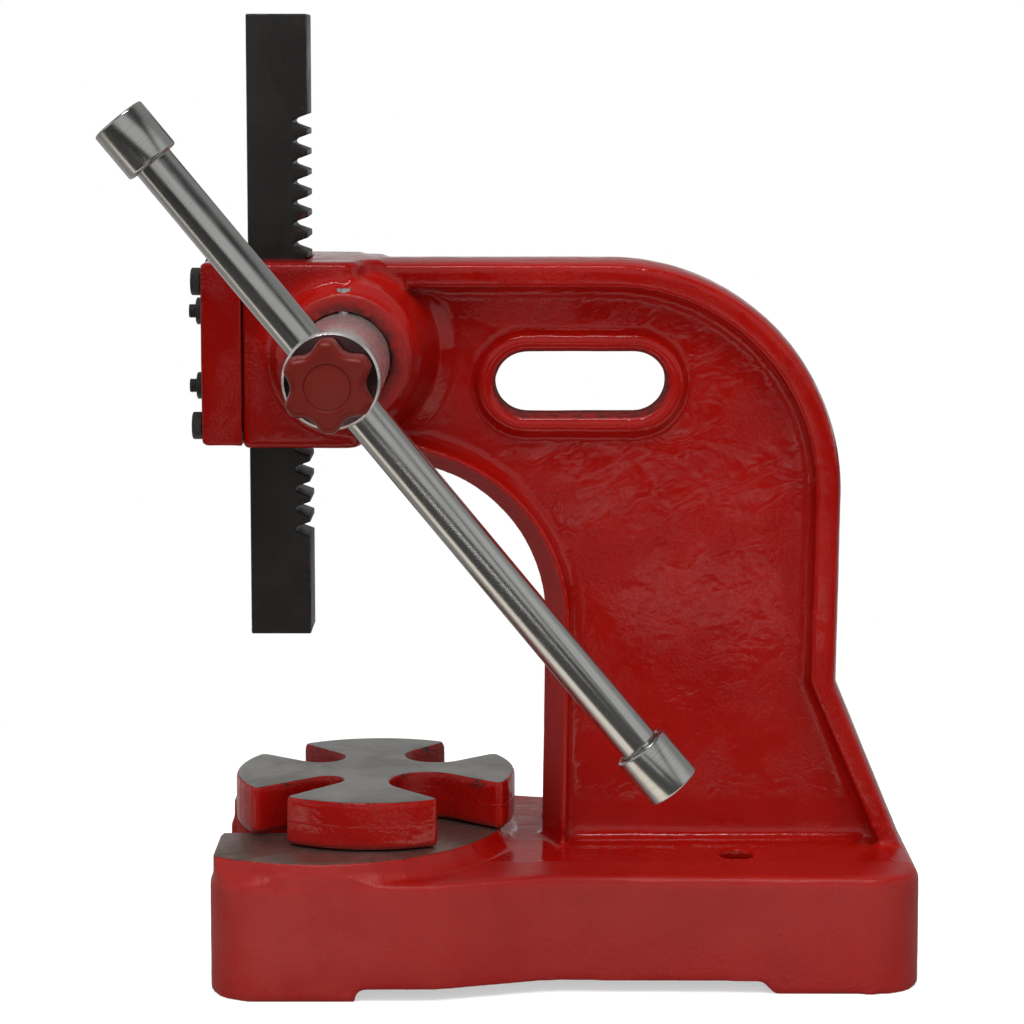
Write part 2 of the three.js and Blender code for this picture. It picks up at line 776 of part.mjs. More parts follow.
// A hexagon in the y-z plane, pushed out along x with its outer corners chamfered
function hexagon(corner, fromX, toX, y, z, chamferedEnds) {
  const prism = rod(corner, fromX, toX, 6, alongX(y, z));
  const [front, rear] = chamferedEnds;
  const cone = revolved([
    [0, fromX],
    [corner - front, fromX],
    [corner, fromX + front / 2],
    [corner, toX - rear / 2],
    [corner - rear, toX],
    [0, toX],
  ], screwSides, alongX(y, z));
  return prism.intersect(cone);
}

function coverBolt(name, y, z) {
  const seatX = coverFrontX - fitGap;
  const chamfers = [boltHeadChamfer, 0];
  const head = hexagon(boltHeadCorner, seatX - boltHeadHeight, seatX, y, z, chamfers);
  const shank = rod(
    boltRadius, seatX - boltHeadHeight / 2, headFrontX + boltDepth, screwSides, alongX(y, z),
  );
  return named(name, head.add(shank), blackOxide);
}

function gibScrew(name, z) {
  const tipX = -ramWidth / 2 - 2 * fitGap - gibThickness;
  const endX = coverFrontX - fitGap - gibNutHeight - gibScrewStub;
  const screw = chamferedRod(
    gibScrewRadius, endX, tipX, gibScrewSlot / 2, screwSides, alongX(0, z),
  );
  const slot = block(
    endX - overrun, endX + gibScrewSlot,
    -gibScrewSlot / 2, gibScrewSlot / 2,
    z - gibScrewRadius - overrun, z + gibScrewRadius + overrun,
  );
  return named(name, screw.subtract(slot), blackOxide);
}

function gibNut(name, z) {
  const seatX = coverFrontX - fitGap;
  const chamfers = [boltHeadChamfer, boltHeadChamfer];
  const nut = hexagon(boltHeadCorner, seatX - gibNutHeight, seatX, 0, z, chamfers);
  const hole = rod(
    gibScrewRadius + fitGap, seatX - gibNutHeight - overrun, seatX + overrun,
    screwSides, alongX(0, z),
  );
  return named(name, nut.subtract(hole), blackOxide);
}

function handleBar() {
  const endGap = capEndWall + fitGap;
  const bar = chamferedRod(
    barRadius, -handleUpperReach + endGap, handleLowerReach - endGap,
    barEdge, roundSides / 2, alongHandle,
  );
  return named('handle_bar', bar, groundSteel);
}

// End cap, open towards the hub
function handleCap(name, reach, side) {
  const [closed, open] = [side * reach, side * (reach - capLength)];
  const [from, to] = side > 0 ? [open, closed] : [closed, open];
  const cap = chamferedRod(capRadius, from, to, capEdge, roundSides, alongHandle);
  const bore = [side * (reach - capEndWall), side * (reach - capLength - overrun)];
  const hole = rod(
    barRadius + fitGap, Math.min(...bore), Math.max(...bore), roundSides / 2, alongHandle,
  );
  return named(name, cap.subtract(hole), groundSteel);
}

// Knob outline: blunt tips with wide valleys between them
function knobOutline() {
  const steps = knobLobeSteps * knobLobes;
  const points = [];
  for (let step = 0; step < steps; step += 1) {
    const angle = 2 * Math.PI * step / steps;
    const wave = (1 + Math.cos(knobLobes * (angle - knobLobeTurn))) / 2;
    const rise = Math.min(1, knobTipBluntness * wave) ** knobTipSharpness;
    const radius = knobValleyRadius + (knobTipRadius - knobValleyRadius) * rise;
    points.push(new THREE.Vector2(
      pinionAxisX + radius * Math.cos(angle), pinionAxisZ + radius * Math.sin(angle),
    ));
  }
  return new THREE.Shape(points);
}

function clampKnob() {
  const axis = alongY(pinionAxisX, pinionAxisZ);
  const bodyEndY = knobFrontY + knobBodyLength;
  const body = crosswise(knobOutline(), knobFrontY, bodyEndY, knobRound / 2, knobRound, 2);
  const neck = rod(knobNeckRadius, bodyEndY - knobRound, bodyEndY + knobNeckLength, roundSides / 2, axis);
  const capPocket = rod(
    knobCapRadius + fitGap, knobFrontY - overrun, knobFrontY + knobCapSink + knobCapThickness + fitGap,
    roundSides / 2, axis,
  );
  const studPocket = rod(
    studRadius + fitGap, bodyEndY + knobNeckLength - studHoldLength - fitGap,
    bodyEndY + knobNeckLength + overrun, smallRoundSides, axis,
  );
  return named('clamp_knob', body.add(neck).subtract(capPocket).subtract(studPocket), knobPlastic);
}

function knobCap() {
  const from = knobFrontY + knobCapSink;
  const cap = chamferedRod(
    knobCapRadius, from, from + knobCapThickness, knobCapSink / 2, roundSides / 2,
    alongY(pinionAxisX, pinionAxisZ),
  );
  return named('knob_cap', cap, knobPlastic);
}

function knobStud() {
  const neckEndY = knobFrontY + knobBodyLength + knobNeckLength;
  const tipY = handleY - barRadius - fitGap;
  const stud = chamferedRod(
    studRadius, neckEndY - studHoldLength, tipY, ramEdge, smallRoundSides,
    alongY(pinionAxisX, pinionAxisZ),
  );
  return named('knob_stud', stud, groundSteel);
}

// One slot of the table plate: from its far rim corner to its near one, as seen from the slot
function plateSlotPoints(angle, width, depth) {
  const half = width / 2;
  const bottomCentre = plateRadius - depth + half;
  const points = [];
  const put = (along, across) => points.push(new THREE.Vector2(
    plateCentreX + along * Math.cos(angle) - across * Math.sin(angle),
    along * Math.sin(angle) + across * Math.cos(angle),
  ));
  const rimAt = (along) => half + (along - bottomCentre) * Math.tan(plateSlotFlare);
  const cornerAlong = Math.sqrt(plateRadius ** 2 - rimAt(plateRadius) ** 2);
  const cornerHalf = rimAt(cornerAlong);
  const rimTurn = plateCornerRound / plateRadius;
  const cornerAngle = Math.atan2(cornerHalf, cornerAlong) + rimTurn;
  const innerAlong = cornerAlong - plateCornerRound;
  const blend = (side) => {
    const outer = [plateRadius * Math.cos(cornerAngle), side * plateRadius * Math.sin(cornerAngle)];
    const middle = [
      (outer[0] + 2 * cornerAlong + innerAlong) / 4,
      (outer[1] + side * (2 * cornerHalf + rimAt(innerAlong))) / 4,
    ];
    return [outer, middle, [innerAlong, side * rimAt(innerAlong)]];
  };
  blend(-1).forEach(([along, across]) => put(along, across));
  const bottomSteps = 10;
  for (let step = 0; step <= bottomSteps; step += 1) {
    const turn = -Math.PI / 2 - Math.PI * step / bottomSteps;
    put(bottomCentre + half * Math.cos(turn), half * Math.sin(turn));
  }
  blend(1).reverse().forEach(([along, across]) => put(along, across));
  return { points, from: angle - cornerAngle, to: angle + cornerAngle };
}

// Table plate: a round plate with four slots of different widths
function tablePlate() {
  const slots = plateSlotAngles.map((angle, slot) => plateSlotPoints(
    angle, plateSlotWidths[slot], plateSlotDepths[slot],
  ));
  const outline = [];
  const rimSteps = 8;
  slots.forEach((slot, place) => {
    outline.push(...slot.points);
    const next = slots[(place + 1) % slots.length];
    const until = next.from < slot.to ? next.from + 2 * Math.PI : next.from;
    for (let step = 1; step < rimSteps; step += 1) {
      const angle = slot.to + (until - slot.to) * step / rimSteps;
      outline.push(new THREE.Vector2(
        plateCentreX + plateRadius * Math.cos(angle), plateRadius * Math.sin(angle),
      ));
    }
  });
  const bottomZ = baseHeight + tableRise + fitGap;
  const plate = upright(
    new THREE.Shape(outline), bottomZ, bottomZ + plateThickness, plateEdge, 2,
  );
  const bore = rod(
    pivotPinRadius + fitGap, bottomZ - overrun, baseHeight + tableRise + pivotPinRise + fitGap,
    smallRoundSides, alongZ(plateCentreX, 0),
  );
  return named('table_plate', plate.subtract(bore), machinedIron);
}

function tablePivotPin() {
  const tableTopZ = baseHeight + tableRise;
  const pin = chamferedRod(
    pivotPinRadius, tableTopZ - pivotPinDepth, tableTopZ + pivotPinRise, barEdge,
    smallRoundSides, alongZ(plateCentreX, 0),
  );
  return named('table_pivot_pin', pin, groundSteel);
}

// The gib strip with small chamfers on its long edges
function gibStrip() {
  const middleZ = (coverBottomZ + coverTopZ) / 2;
  const rearX = -ramWidth / 2 - fitGap;
  const shape = new THREE.Shape();
  shape.moveTo(rearX - gibThickness, -gibHalfWidth);
  shape.lineTo(rearX, -gibHalfWidth);
  shape.lineTo(rearX, gibHalfWidth);
  shape.lineTo(rearX - gibThickness, gibHalfWidth);
  const strip = upright(shape, middleZ - gibHeight / 2, middleZ + gibHeight / 2, gibEdge, 1);
  return named('gib_strip', strip, groundSteel);
}

const press = new THREE.Group();
press.add(
  frameCasting(),
  ram(),
  pinionShaft(),
  pinionSetScrew(),
  coverPlate(),
  gibStrip(),
  coverBolt('cover_bolt_near_upper', -boltY, boltUpperZ),
  coverBolt('cover_bolt_near_lower', -boltY, boltLowerZ),
  coverBolt('cover_bolt_far_upper', boltY, boltUpperZ),
  coverBolt('cover_bolt_far_lower', boltY, boltLowerZ),
  gibScrew('gib_screw_upper', gibScrewUpperZ),
  gibScrew('gib_screw_lower', gibScrewLowerZ),
  gibNut('gib_nut_upper', gibScrewUpperZ),
  gibNut('gib_nut_lower', gibScrewLowerZ),
  handleBar(),
  handleCap('handle_cap_upper', handleUpperReach, -1),
  handleCap('handle_cap_lower', handleLowerReach, 1),
  clampKnob(),
  knobCap(),
  knobStud(),
  tablePlate(),
  tablePivotPin(),
);

const box = new THREE.Box3().setFromObject(press);
press.position.set(-(box.min.x + box.max.x) / 2, -(box.min.y + box.max.y) / 2, -box.min.z);

const arborPress = new THREE.Group();
arborPress.add(press);

export default arborPress;
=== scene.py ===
"""A one-ton arbor press in a white studio.

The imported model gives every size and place. The castings, the steel pieces and the knob are built
over it, given their finishes, and made to move with the bodies of the model.
"""

import json
import logging
import math
from dataclasses import dataclass
from enum import Enum
from typing import Any, Callable, Sequence, Union

import bpy
import numpy as np
from mathutils import Matrix, Vector


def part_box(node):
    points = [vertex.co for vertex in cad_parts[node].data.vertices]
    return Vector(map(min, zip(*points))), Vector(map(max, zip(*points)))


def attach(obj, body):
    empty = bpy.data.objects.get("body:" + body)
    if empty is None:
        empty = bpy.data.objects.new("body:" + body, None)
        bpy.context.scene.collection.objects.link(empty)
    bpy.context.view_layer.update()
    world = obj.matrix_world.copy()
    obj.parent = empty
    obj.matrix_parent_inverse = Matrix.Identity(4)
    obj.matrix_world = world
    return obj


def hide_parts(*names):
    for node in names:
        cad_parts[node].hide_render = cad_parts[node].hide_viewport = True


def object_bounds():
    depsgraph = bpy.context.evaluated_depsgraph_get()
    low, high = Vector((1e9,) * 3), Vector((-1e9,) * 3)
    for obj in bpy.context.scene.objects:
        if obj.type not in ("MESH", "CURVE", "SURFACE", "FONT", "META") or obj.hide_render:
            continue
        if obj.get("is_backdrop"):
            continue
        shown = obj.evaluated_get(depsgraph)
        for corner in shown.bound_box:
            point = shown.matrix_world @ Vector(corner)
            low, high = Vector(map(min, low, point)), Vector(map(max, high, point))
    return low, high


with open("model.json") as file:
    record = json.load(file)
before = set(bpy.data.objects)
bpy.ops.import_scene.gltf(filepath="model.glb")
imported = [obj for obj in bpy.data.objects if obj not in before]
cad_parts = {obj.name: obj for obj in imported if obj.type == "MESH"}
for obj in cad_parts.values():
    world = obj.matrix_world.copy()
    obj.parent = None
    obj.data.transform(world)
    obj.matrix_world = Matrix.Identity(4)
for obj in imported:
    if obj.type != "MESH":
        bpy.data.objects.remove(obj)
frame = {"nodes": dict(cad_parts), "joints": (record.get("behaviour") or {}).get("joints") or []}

LOG = logging.getLogger("arbor_press")
MM = 0.001
CAD_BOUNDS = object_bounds()

Colour = tuple[float, float, float]
Value = Union["Signal", float, int, Sequence[float]]
WHITE: Colour = (1.0, 1.0, 1.0)
# Turns of what stands along z
ALONG_X = (0.0, math.pi / 2, 0.0)
ALONG_Y = (math.pi / 2, 0.0, 0.0)
# Gap between neighbouring solids of the model
GAP = 0.3 * MM
# What is nearer than this counts as there
CLOSE = 0.1 * MM


class Body(Enum):
    """Moving bodies of the press."""

    FRAME = "frame"
    RAM = "ram"
    PINION = "pinion"
    HANDLE = "handle"
    KNOB = "knob"
    TABLE = "table"


class Slot(Enum):
    """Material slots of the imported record."""

    ENAMEL = "red_enamel"
    OXIDE = "black_oxide"
    GROUND = "ground_steel"
    POLISHED = "polished_steel"
    IRON = "machined_iron"
    PLASTIC = "knob_plastic"


# Shader arithmetic


@dataclass(frozen=True)
class Grain:
    """A noise: the size of its lumps in metres, and how they are broken up and drawn about."""

    size: float
    detail: float = 2.0
    roughness: float = 0.5
    distortion: float = 0.0


@dataclass(frozen=True)
class Patches:
    """Patches that a noise makes: none where it is below low, full where it is above high."""

    low: float
    high: float
    grain: Grain


class Signal:
    """Output of a shader node that can be used in sums."""

    def __init__(self, bench: "Bench", socket: bpy.types.NodeSocket) -> None:
        """Hold a socket.

        Args:
            bench: The bench whose node tree the socket is in.
            socket: The output socket.
        """
        self.bench = bench
        self.socket = socket

    def __add__(self, other: Value) -> "Signal":
        """Return self + other."""
        return self.bench.math("ADD", self, other)

    def __radd__(self, other: Value) -> "Signal":
        """Return other + self."""
        return self.bench.math("ADD", other, self)

    def __sub__(self, other: Value) -> "Signal":
        """Return self - other."""
        return self.bench.math("SUBTRACT", self, other)

    def __rsub__(self, other: Value) -> "Signal":
        """Return other - self."""
        return self.bench.math("SUBTRACT", other, self)

    def __mul__(self, other: Value) -> "Signal":
        """Return self * other."""
        return self.bench.math("MULTIPLY", self, other)

    def __rmul__(self, other: Value) -> "Signal":
        """Return other * self."""
        return self.bench.math("MULTIPLY", other, self)

    def __pow__(self, other: Value) -> "Signal":
        """Return self to the power of other."""
        return self.bench.math("POWER", self, other)


class Bench:
    """The node tree of a material or world, and the ways in which nodes are added to it."""

    def __init__(self, name: str, world: bool = False) -> None:
        """Start an empty material or world.

        Args:
            name: Its name.
            world: Whether it is a world.
        """
        self.world = world
        self.owner = (bpy.data.worlds if world else bpy.data.materials).new(name)
        self.owner.use_nodes = True
        self.tree = self.owner.node_tree
        self.tree.nodes.clear()
        self._place: Signal | None = None

    def node(
        self,
        kind: str,
        settings: dict[str, Any] | None = None,
        inputs: dict[Union[str, int], Value] | None = None,
        output: Union[str, int] = 0,
    ) -> Signal:
        """Add a node.

        Args:
            kind: The node's type without the ShaderNode prefix.
            settings: Properties of the node, set before its sockets.
            inputs: Values or links of its sockets, by name or number.
            output: The output that is wanted.

        Returns:
            The node's output.
        """
        made = self.tree.nodes.new("ShaderNode" + kind)
        for key, value in (settings or {}).items():
            setattr(made, key, value)
        for key, value in (inputs or {}).items():
            self.feed(made.inputs[key], value)
        return Signal(self, made.outputs[output])

    def feed(self, socket: bpy.types.NodeSocket, value: Value) -> None:
        """Link a signal to a socket, or set the socket's own value.

        Args:
            socket: The socket.
            value: A signal to link to it, or its own value.
        """
        if isinstance(value, Signal):
            self.tree.links.new(value.socket, socket)
        elif isinstance(socket.default_value, float):
            socket.default_value = value
        else:
            wanted = len(socket.default_value)
            padded = tuple(value) + (1.0,) * (wanted - len(value))
            socket.default_value = padded

    def math(self, operation: str, *values: Value) -> Signal:
        """Add a Math node.

        Args:
            operation: The node's operation.
            values: Its inputs in order.

        Returns:
            The result.
        """
        return self.node("Math", {"operation": operation}, dict(enumerate(values)))

    def place(self) -> Signal:
        """Return the object coordinates, in metres.

        Returns:
            The coordinates.
        """
        if self._place is None:
            self._place = self.node("TexCoord", output="Object")
        return self._place

    def axes(self, where: Signal | None = None) -> tuple[Signal, Signal, Signal]:
        """Split coordinates into x, y and z.

        Args:
            where: The coordinates, or the object's own where left out.

        Returns:
            The three parts.
        """
        split = self.node("SeparateXYZ", inputs={0: where or self.place()})
        outputs = split.socket.node.outputs
        return tuple(Signal(self, outputs[axis]) for axis in range(3))

    def stretched(self, scale: Sequence[float], turn: Sequence[float] = (0, 0, 0)) -> Signal:
        """Turn and stretch the object coordinates.

        Args:
            scale: Scale along each axis after the turn.
            turn: Rotation in radians.

        Returns:
            The new coordinates.
        """
        turned = self.node(
            "Mapping", {"vector_type": "POINT"}, {"Vector": self.place(), "Rotation": turn}
        )
        return self.node(
            "Mapping", {"vector_type": "POINT"}, {"Vector": turned, "Scale": scale}
        )

    def noise(self, grain: Grain, where: Signal | None = None) -> Signal:
        """Add noise.

        Args:
            grain: What the noise is like.
            where: Coordinates, or the object's own where left out.

        Returns:
            The noise's height, around 0.5.
        """
        return self.node(
            "TexNoise",
            {"noise_dimensions": "3D"},
            {
                "Vector": where or self.place(),
                "Scale": 1 / grain.size,
                "Detail": grain.detail,
                "Roughness": grain.roughness,
                "Distortion": grain.distortion,
            },
        )

    def between(self, signal: Value, low: float, high: float) -> Signal:
        """Step smoothly from 0 below low to 1 above high.

        Args:
            signal: What the step depends on.
            low: Where the step begins.
            high: Where it ends.

        Returns:
            The step, from 0 to 1.
        """
        return self.node(
            "MapRange",
            {"interpolation_type": "SMOOTHSTEP"},
            {"Value": signal, "From Min": low, "From Max": high, "To Min": 0.0, "To Max": 1.0},
        )

    def until(self, signal: Value, low: float, high: float) -> Signal:
        """Return 1 below low, 0 above high and a smooth step between them."""
        return 1.0 - self.between(signal, low, high)

    def patches(self, patches: Patches) -> Signal:
        """Add the patches of a noise, from 0 to 1."""
        return self.between(self.noise(patches.grain), patches.low, patches.high)

    def distance(self, first: Signal, second: Signal) -> Signal:
        """Return the length of a way whose parts along two axes are given."""
        return self.math("SQRT", first**2 + second**2)

    def blend(self, factor: Value, first: Value, second: Value) -> Signal:
        """Mix two colours.

        Args:
            factor: Share of the second colour.
            first: The first colour.
            second: The second colour.

        Returns:
            The mixed colour.
        """
        return self.node(
            "Mix", {"data_type": "RGBA"}, {0: factor, 6: first, 7: second}, output=2
        )

    def choose(self, factor: Value, first: Value, second: Value) -> Signal:
        """Mix two numbers by a factor."""
        return self.node("Mix", {"data_type": "FLOAT"}, {0: factor, 2: first, 3: second})

    def attribute(self, name: str) -> Signal:
        """Return a number kept on the mesh's points."""
        return self.node("Attribute", {"attribute_name": name}, output="Fac")

    def raised(self, height: Signal, depth: float) -> Signal:
        """Return the normal that a height gives whose 1 is a depth in metres."""
        inputs = {"Strength": 1.0, "Distance": depth, "Height": height}
        return self.node("Bump", inputs=inputs)

    def finish(self, **sockets: Value) -> bpy.types.Material:
        """Close the material with a Principled shader.

        Args:
            sockets: Its sockets, with underscores for spaces.

        Returns:
            The finished material.
        """
        named = {key.replace("_", " "): value for key, value in sockets.items()}
        return self.close(self.node("BsdfPrincipled", inputs=named, output="BSDF"))

    def glow(self, colour: Colour, strength: Value) -> Signal:
        """Add an Emission shader.

        Args:
            colour: Its colour.
            strength: Its strength.

        Returns:
            The shader.
        """
        return self.node(
            "Emission", inputs={"Color": colour, "Strength": strength}, output="Emission"
        )

    def both(self, first: Signal, second: Signal) -> Signal:
        """Add two shaders together."""
        return self.node("AddShader", inputs={0: first, 1: second}, output="Shader")

    def close(self, shader: Signal) -> Union[bpy.types.Material, bpy.types.World]:
        """Link a shader to the output.

        Args:
            shader: The shader.

        Returns:
            The finished material or world.
        """
        kind = "World" if self.world else "Material"
        output = self.tree.nodes.new(f"ShaderNodeOutput{kind}")
        self.tree.links.new(shader.socket, output.inputs["Surface"])
        return self.owner


# Finishes


@dataclass
class Layer:
    """What a finish gives at one place: colour, gloss and height in millimetres."""

    colour: Value
    roughness: Value
    metallic: Value
    height: Signal

    def over(self, bench: Bench, cover: Signal, under: "Layer") -> "Layer":
        """Lay this layer over another.

        Args:
            bench: The material's bench.
            cover: Where this layer covers, from 0 to 1.
            under: The layer below.

        Returns:
            The two layers together.
        """
        return Layer(
            bench.blend(cover, under.colour, self.colour),
            bench.choose(cover, under.roughness, self.roughness),
            bench.choose(cover, under.metallic, self.metallic),
            bench.choose(cover, under.height, self.height),
        )

    def close(self, bench: Bench, **extra: Value) -> bpy.types.Material:
        """Finish the material with this layer on top.

        Args:
            bench: The material's bench.
            extra: Further sockets of the shader.

        Returns:
            The finished material.
        """
        return bench.finish(
            Base_Color=self.colour,
            Roughness=self.roughness,
            Metallic=self.metallic,
            Normal=bench.raised(self.height, MM),
            **extra,
        )


@dataclass(frozen=True)
class Enamel:
    """Thick glossy red enamel over sand-cast iron, with heights in millimetres."""

    bright: Colour = (0.266, 0.0040, 0.0022)
    deep: Colour = (0.240, 0.0030, 0.0018)
    clouds: Patches = Patches(0.34, 0.66, Grain(0.030, 3, 0.55))
    # Soot of real dirt, also laid in the hollows as painted shade
    soot_and_shade: Colour = (0.022, 0.007, 0.006)
    specks: Patches = Patches(0.69, 0.75, Grain(0.0010, 1.5, 0.6))
    specked: Patches = Patches(0.52, 0.64, Grain(0.019, 2))
    speck_share: float = 0.5
    grime: Patches = Patches(0.50, 0.66, Grain(0.0016, 3, 0.65))
    grime_and_shade_share: float = 0.75
    gloss: float = 0.06
    dull: float = 0.15
    worn: Patches = Patches(0.42, 0.75, Grain(0.011, 4, 0.6))
    hollow_dulled: float = 0.6
    hollow_relief: tuple[float, float] = (30.0, 130.0)
    crest_relief: tuple[float, float] = (35.0, 120.0)
    peel: float = 0.065
    peel_grain: Grain = Grain(0.0024, 2, 0.55)
    swell: float = 0.20
    swell_grain: Grain = Grain(0.0125, 2, 0.45)
    ripple: float = 0.13
    ripple_grain: Grain = Grain(0.0045, 3, 0.5, 0.6)
    flow: float = 0.85
    flow_grain: Grain = Grain(1.0, 2, 0.45, 0.85)
    fold_scale: tuple[float, float, float] = (98.0, 98.0, 56.0)
    fold_turn: tuple[float, float, float] = (0.0, -1.15, 0.0)
    stipple: float = 0.36
    stipple_grain: Grain = Grain(0.0011, 2, 0.6)
    broken: float = 0.17
    broken_grain: Grain = Grain(0.0021, 2, 0.6)
    sand: float = 0.22
    sand_grain: Grain = Grain(0.0014, 2, 0.6)
    sandy: Patches = Patches(0.47, 0.60, Grain(0.035, 2, 0.5))
    ior: float = 1.44

    def layer(self, bench: Bench, relief: Signal, rippled: Value = 0.0) -> Layer:
        """Build the enamel.

        Args:
            bench: The material's bench.
            relief: Half the curvature, above 0 in hollows and below 0 on crests.
            rippled: Where flow ripples show, from 0 to 1.

        Returns:
            The enamel's layer.
        """
        colour = bench.blend(bench.patches(self.clouds), self.deep, self.bright)
        hollow = bench.between(relief, *self.hollow_relief)
        specks = bench.patches(self.specks) * bench.patches(self.specked) * self.speck_share
        # Dark grime in the hollows: dirt, and partly painted shade where creases are shaded
        grime = hollow * bench.patches(self.grime) * self.grime_and_shade_share
        dirt_and_shade = bench.math("MINIMUM", specks + grime, 1.0)
        colour = bench.blend(dirt_and_shade, colour, self.soot_and_shade)
        worn = bench.math("MAXIMUM", bench.patches(self.worn), hollow * self.hollow_dulled)
        roughness = bench.choose(worn, self.gloss, self.dull)
        folds = bench.stretched(self.fold_scale, self.fold_turn)
        crest = bench.between(0.0 - relief, *self.crest_relief)
        height = (
            bench.noise(self.peel_grain) * self.peel
            + bench.noise(self.swell_grain) * self.swell
            + bench.noise(self.ripple_grain) * self.ripple
            + bench.noise(self.flow_grain, folds) * rippled * self.flow
            + bench.noise(self.stipple_grain) * hollow * self.stipple
            + bench.noise(self.broken_grain) * crest * self.broken
            + bench.noise(self.sand_grain) * bench.patches(self.sandy) * self.sand
        )
        return Layer(colour, roughness, 0.0, height)


@dataclass(frozen=True)
class MachinedIron:
    """Milled grey iron with faint tool marks and oil stains."""

    pale: Colour = (0.560, 0.542, 0.512)
    dark: Colour = (0.400, 0.386, 0.362)
    smooth: float = 0.34
    rough: float = 0.46
    metal: float = 0.9
    stains: Patches = Patches(0.38, 0.72, Grain(0.028, 4, 0.62, 0.6))
    smear_scale: tuple[float, float, float] = (90.0, 900.0, 300.0)
    smear_reach: tuple[float, float] = (0.45, 0.8)
    smear_share: float = 0.25
    marks: float = 0.006
    line_scale: tuple[float, float, float] = (60.0, 2600.0, 400.0)
    grain: Grain = Grain(1.0, 2)

    def layer(self, bench: Bench) -> Layer:
        """Build the bare iron's layer.

        Args:
            bench: The material's bench.

        Returns:
            The layer.
        """
        stain = bench.patches(self.stains)
        colour = bench.blend(stain, self.pale, self.dark)
        smears = bench.noise(self.grain, bench.stretched(self.smear_scale))
        smears = bench.between(smears, *self.smear_reach) * self.smear_share
        colour = bench.blend(smears, colour, self.pale)
        lines = bench.noise(self.grain, bench.stretched(self.line_scale))
        roughness = bench.choose(stain, self.smooth, self.rough)
        return Layer(colour, roughness, self.metal, lines * self.marks)


@dataclass(frozen=True)
class PaintedCasting:
    """Enamelled casting with one milled face on top."""

    name: str
    face_height: float
    centre: tuple[float, float] = (0.0, 0.0)
    reach: float = 1.0
    enamel: Enamel = Enamel()
    iron: MachinedIron = MachinedIron()
    ragged: float = 0.10 * MM
    bare_depth: float = 0.30 * MM
    rag_grain: Grain = Grain(0.0035, 3, 0.6)
    burrs: Patches = Patches(0.44, 0.6, Grain(0.006, 3, 0.6))
    burr_depth: float = 0.35 * MM
    burr_share: float = 0.85
    milled_edge: float = 0.05 * MM

    def make(self) -> bpy.types.Material:
        """Build the material.

        Returns:
            The material.
        """
        bench = Bench(self.name)
        relief = bench.attribute("relief")
        paint = self.marked(bench, self.enamel.layer(bench, relief, self.rippled(bench)))
        bare = self.iron.layer(bench)
        x, y, z = bench.axes()
        across = bench.distance(x - self.centre[0], y - self.centre[1])
        level = z + (bench.noise(self.rag_grain) - 0.5) * 2 * self.ragged
        floor = self.face_height - self.bare_depth
        face = bench.until(z, self.face_height + MM, self.face_height + 2 * MM)
        face = face * bench.until(across, self.reach, self.reach + MM)
        burr = bench.between(level, floor - self.burr_depth, floor - CLOSE)
        burr = bench.patches(self.burrs) * burr * face
        paint.colour = bench.blend(burr * self.burr_share, paint.colour, self.enamel.soot_and_shade)
        milled = bench.between(level, floor - self.milled_edge, floor + self.milled_edge) * face
        return bare.over(bench, milled, paint).close(bench, IOR=self.enamel.ior)

    def rippled(self, bench: Bench) -> Value:
        """Return where the enamel has flow ripples: nowhere on a plain casting."""
        return 0.0

    def marked(self, bench: Bench, paint: Layer) -> Layer:
        """Return the enamel with the marks of its place: none on a plain casting."""
        return paint


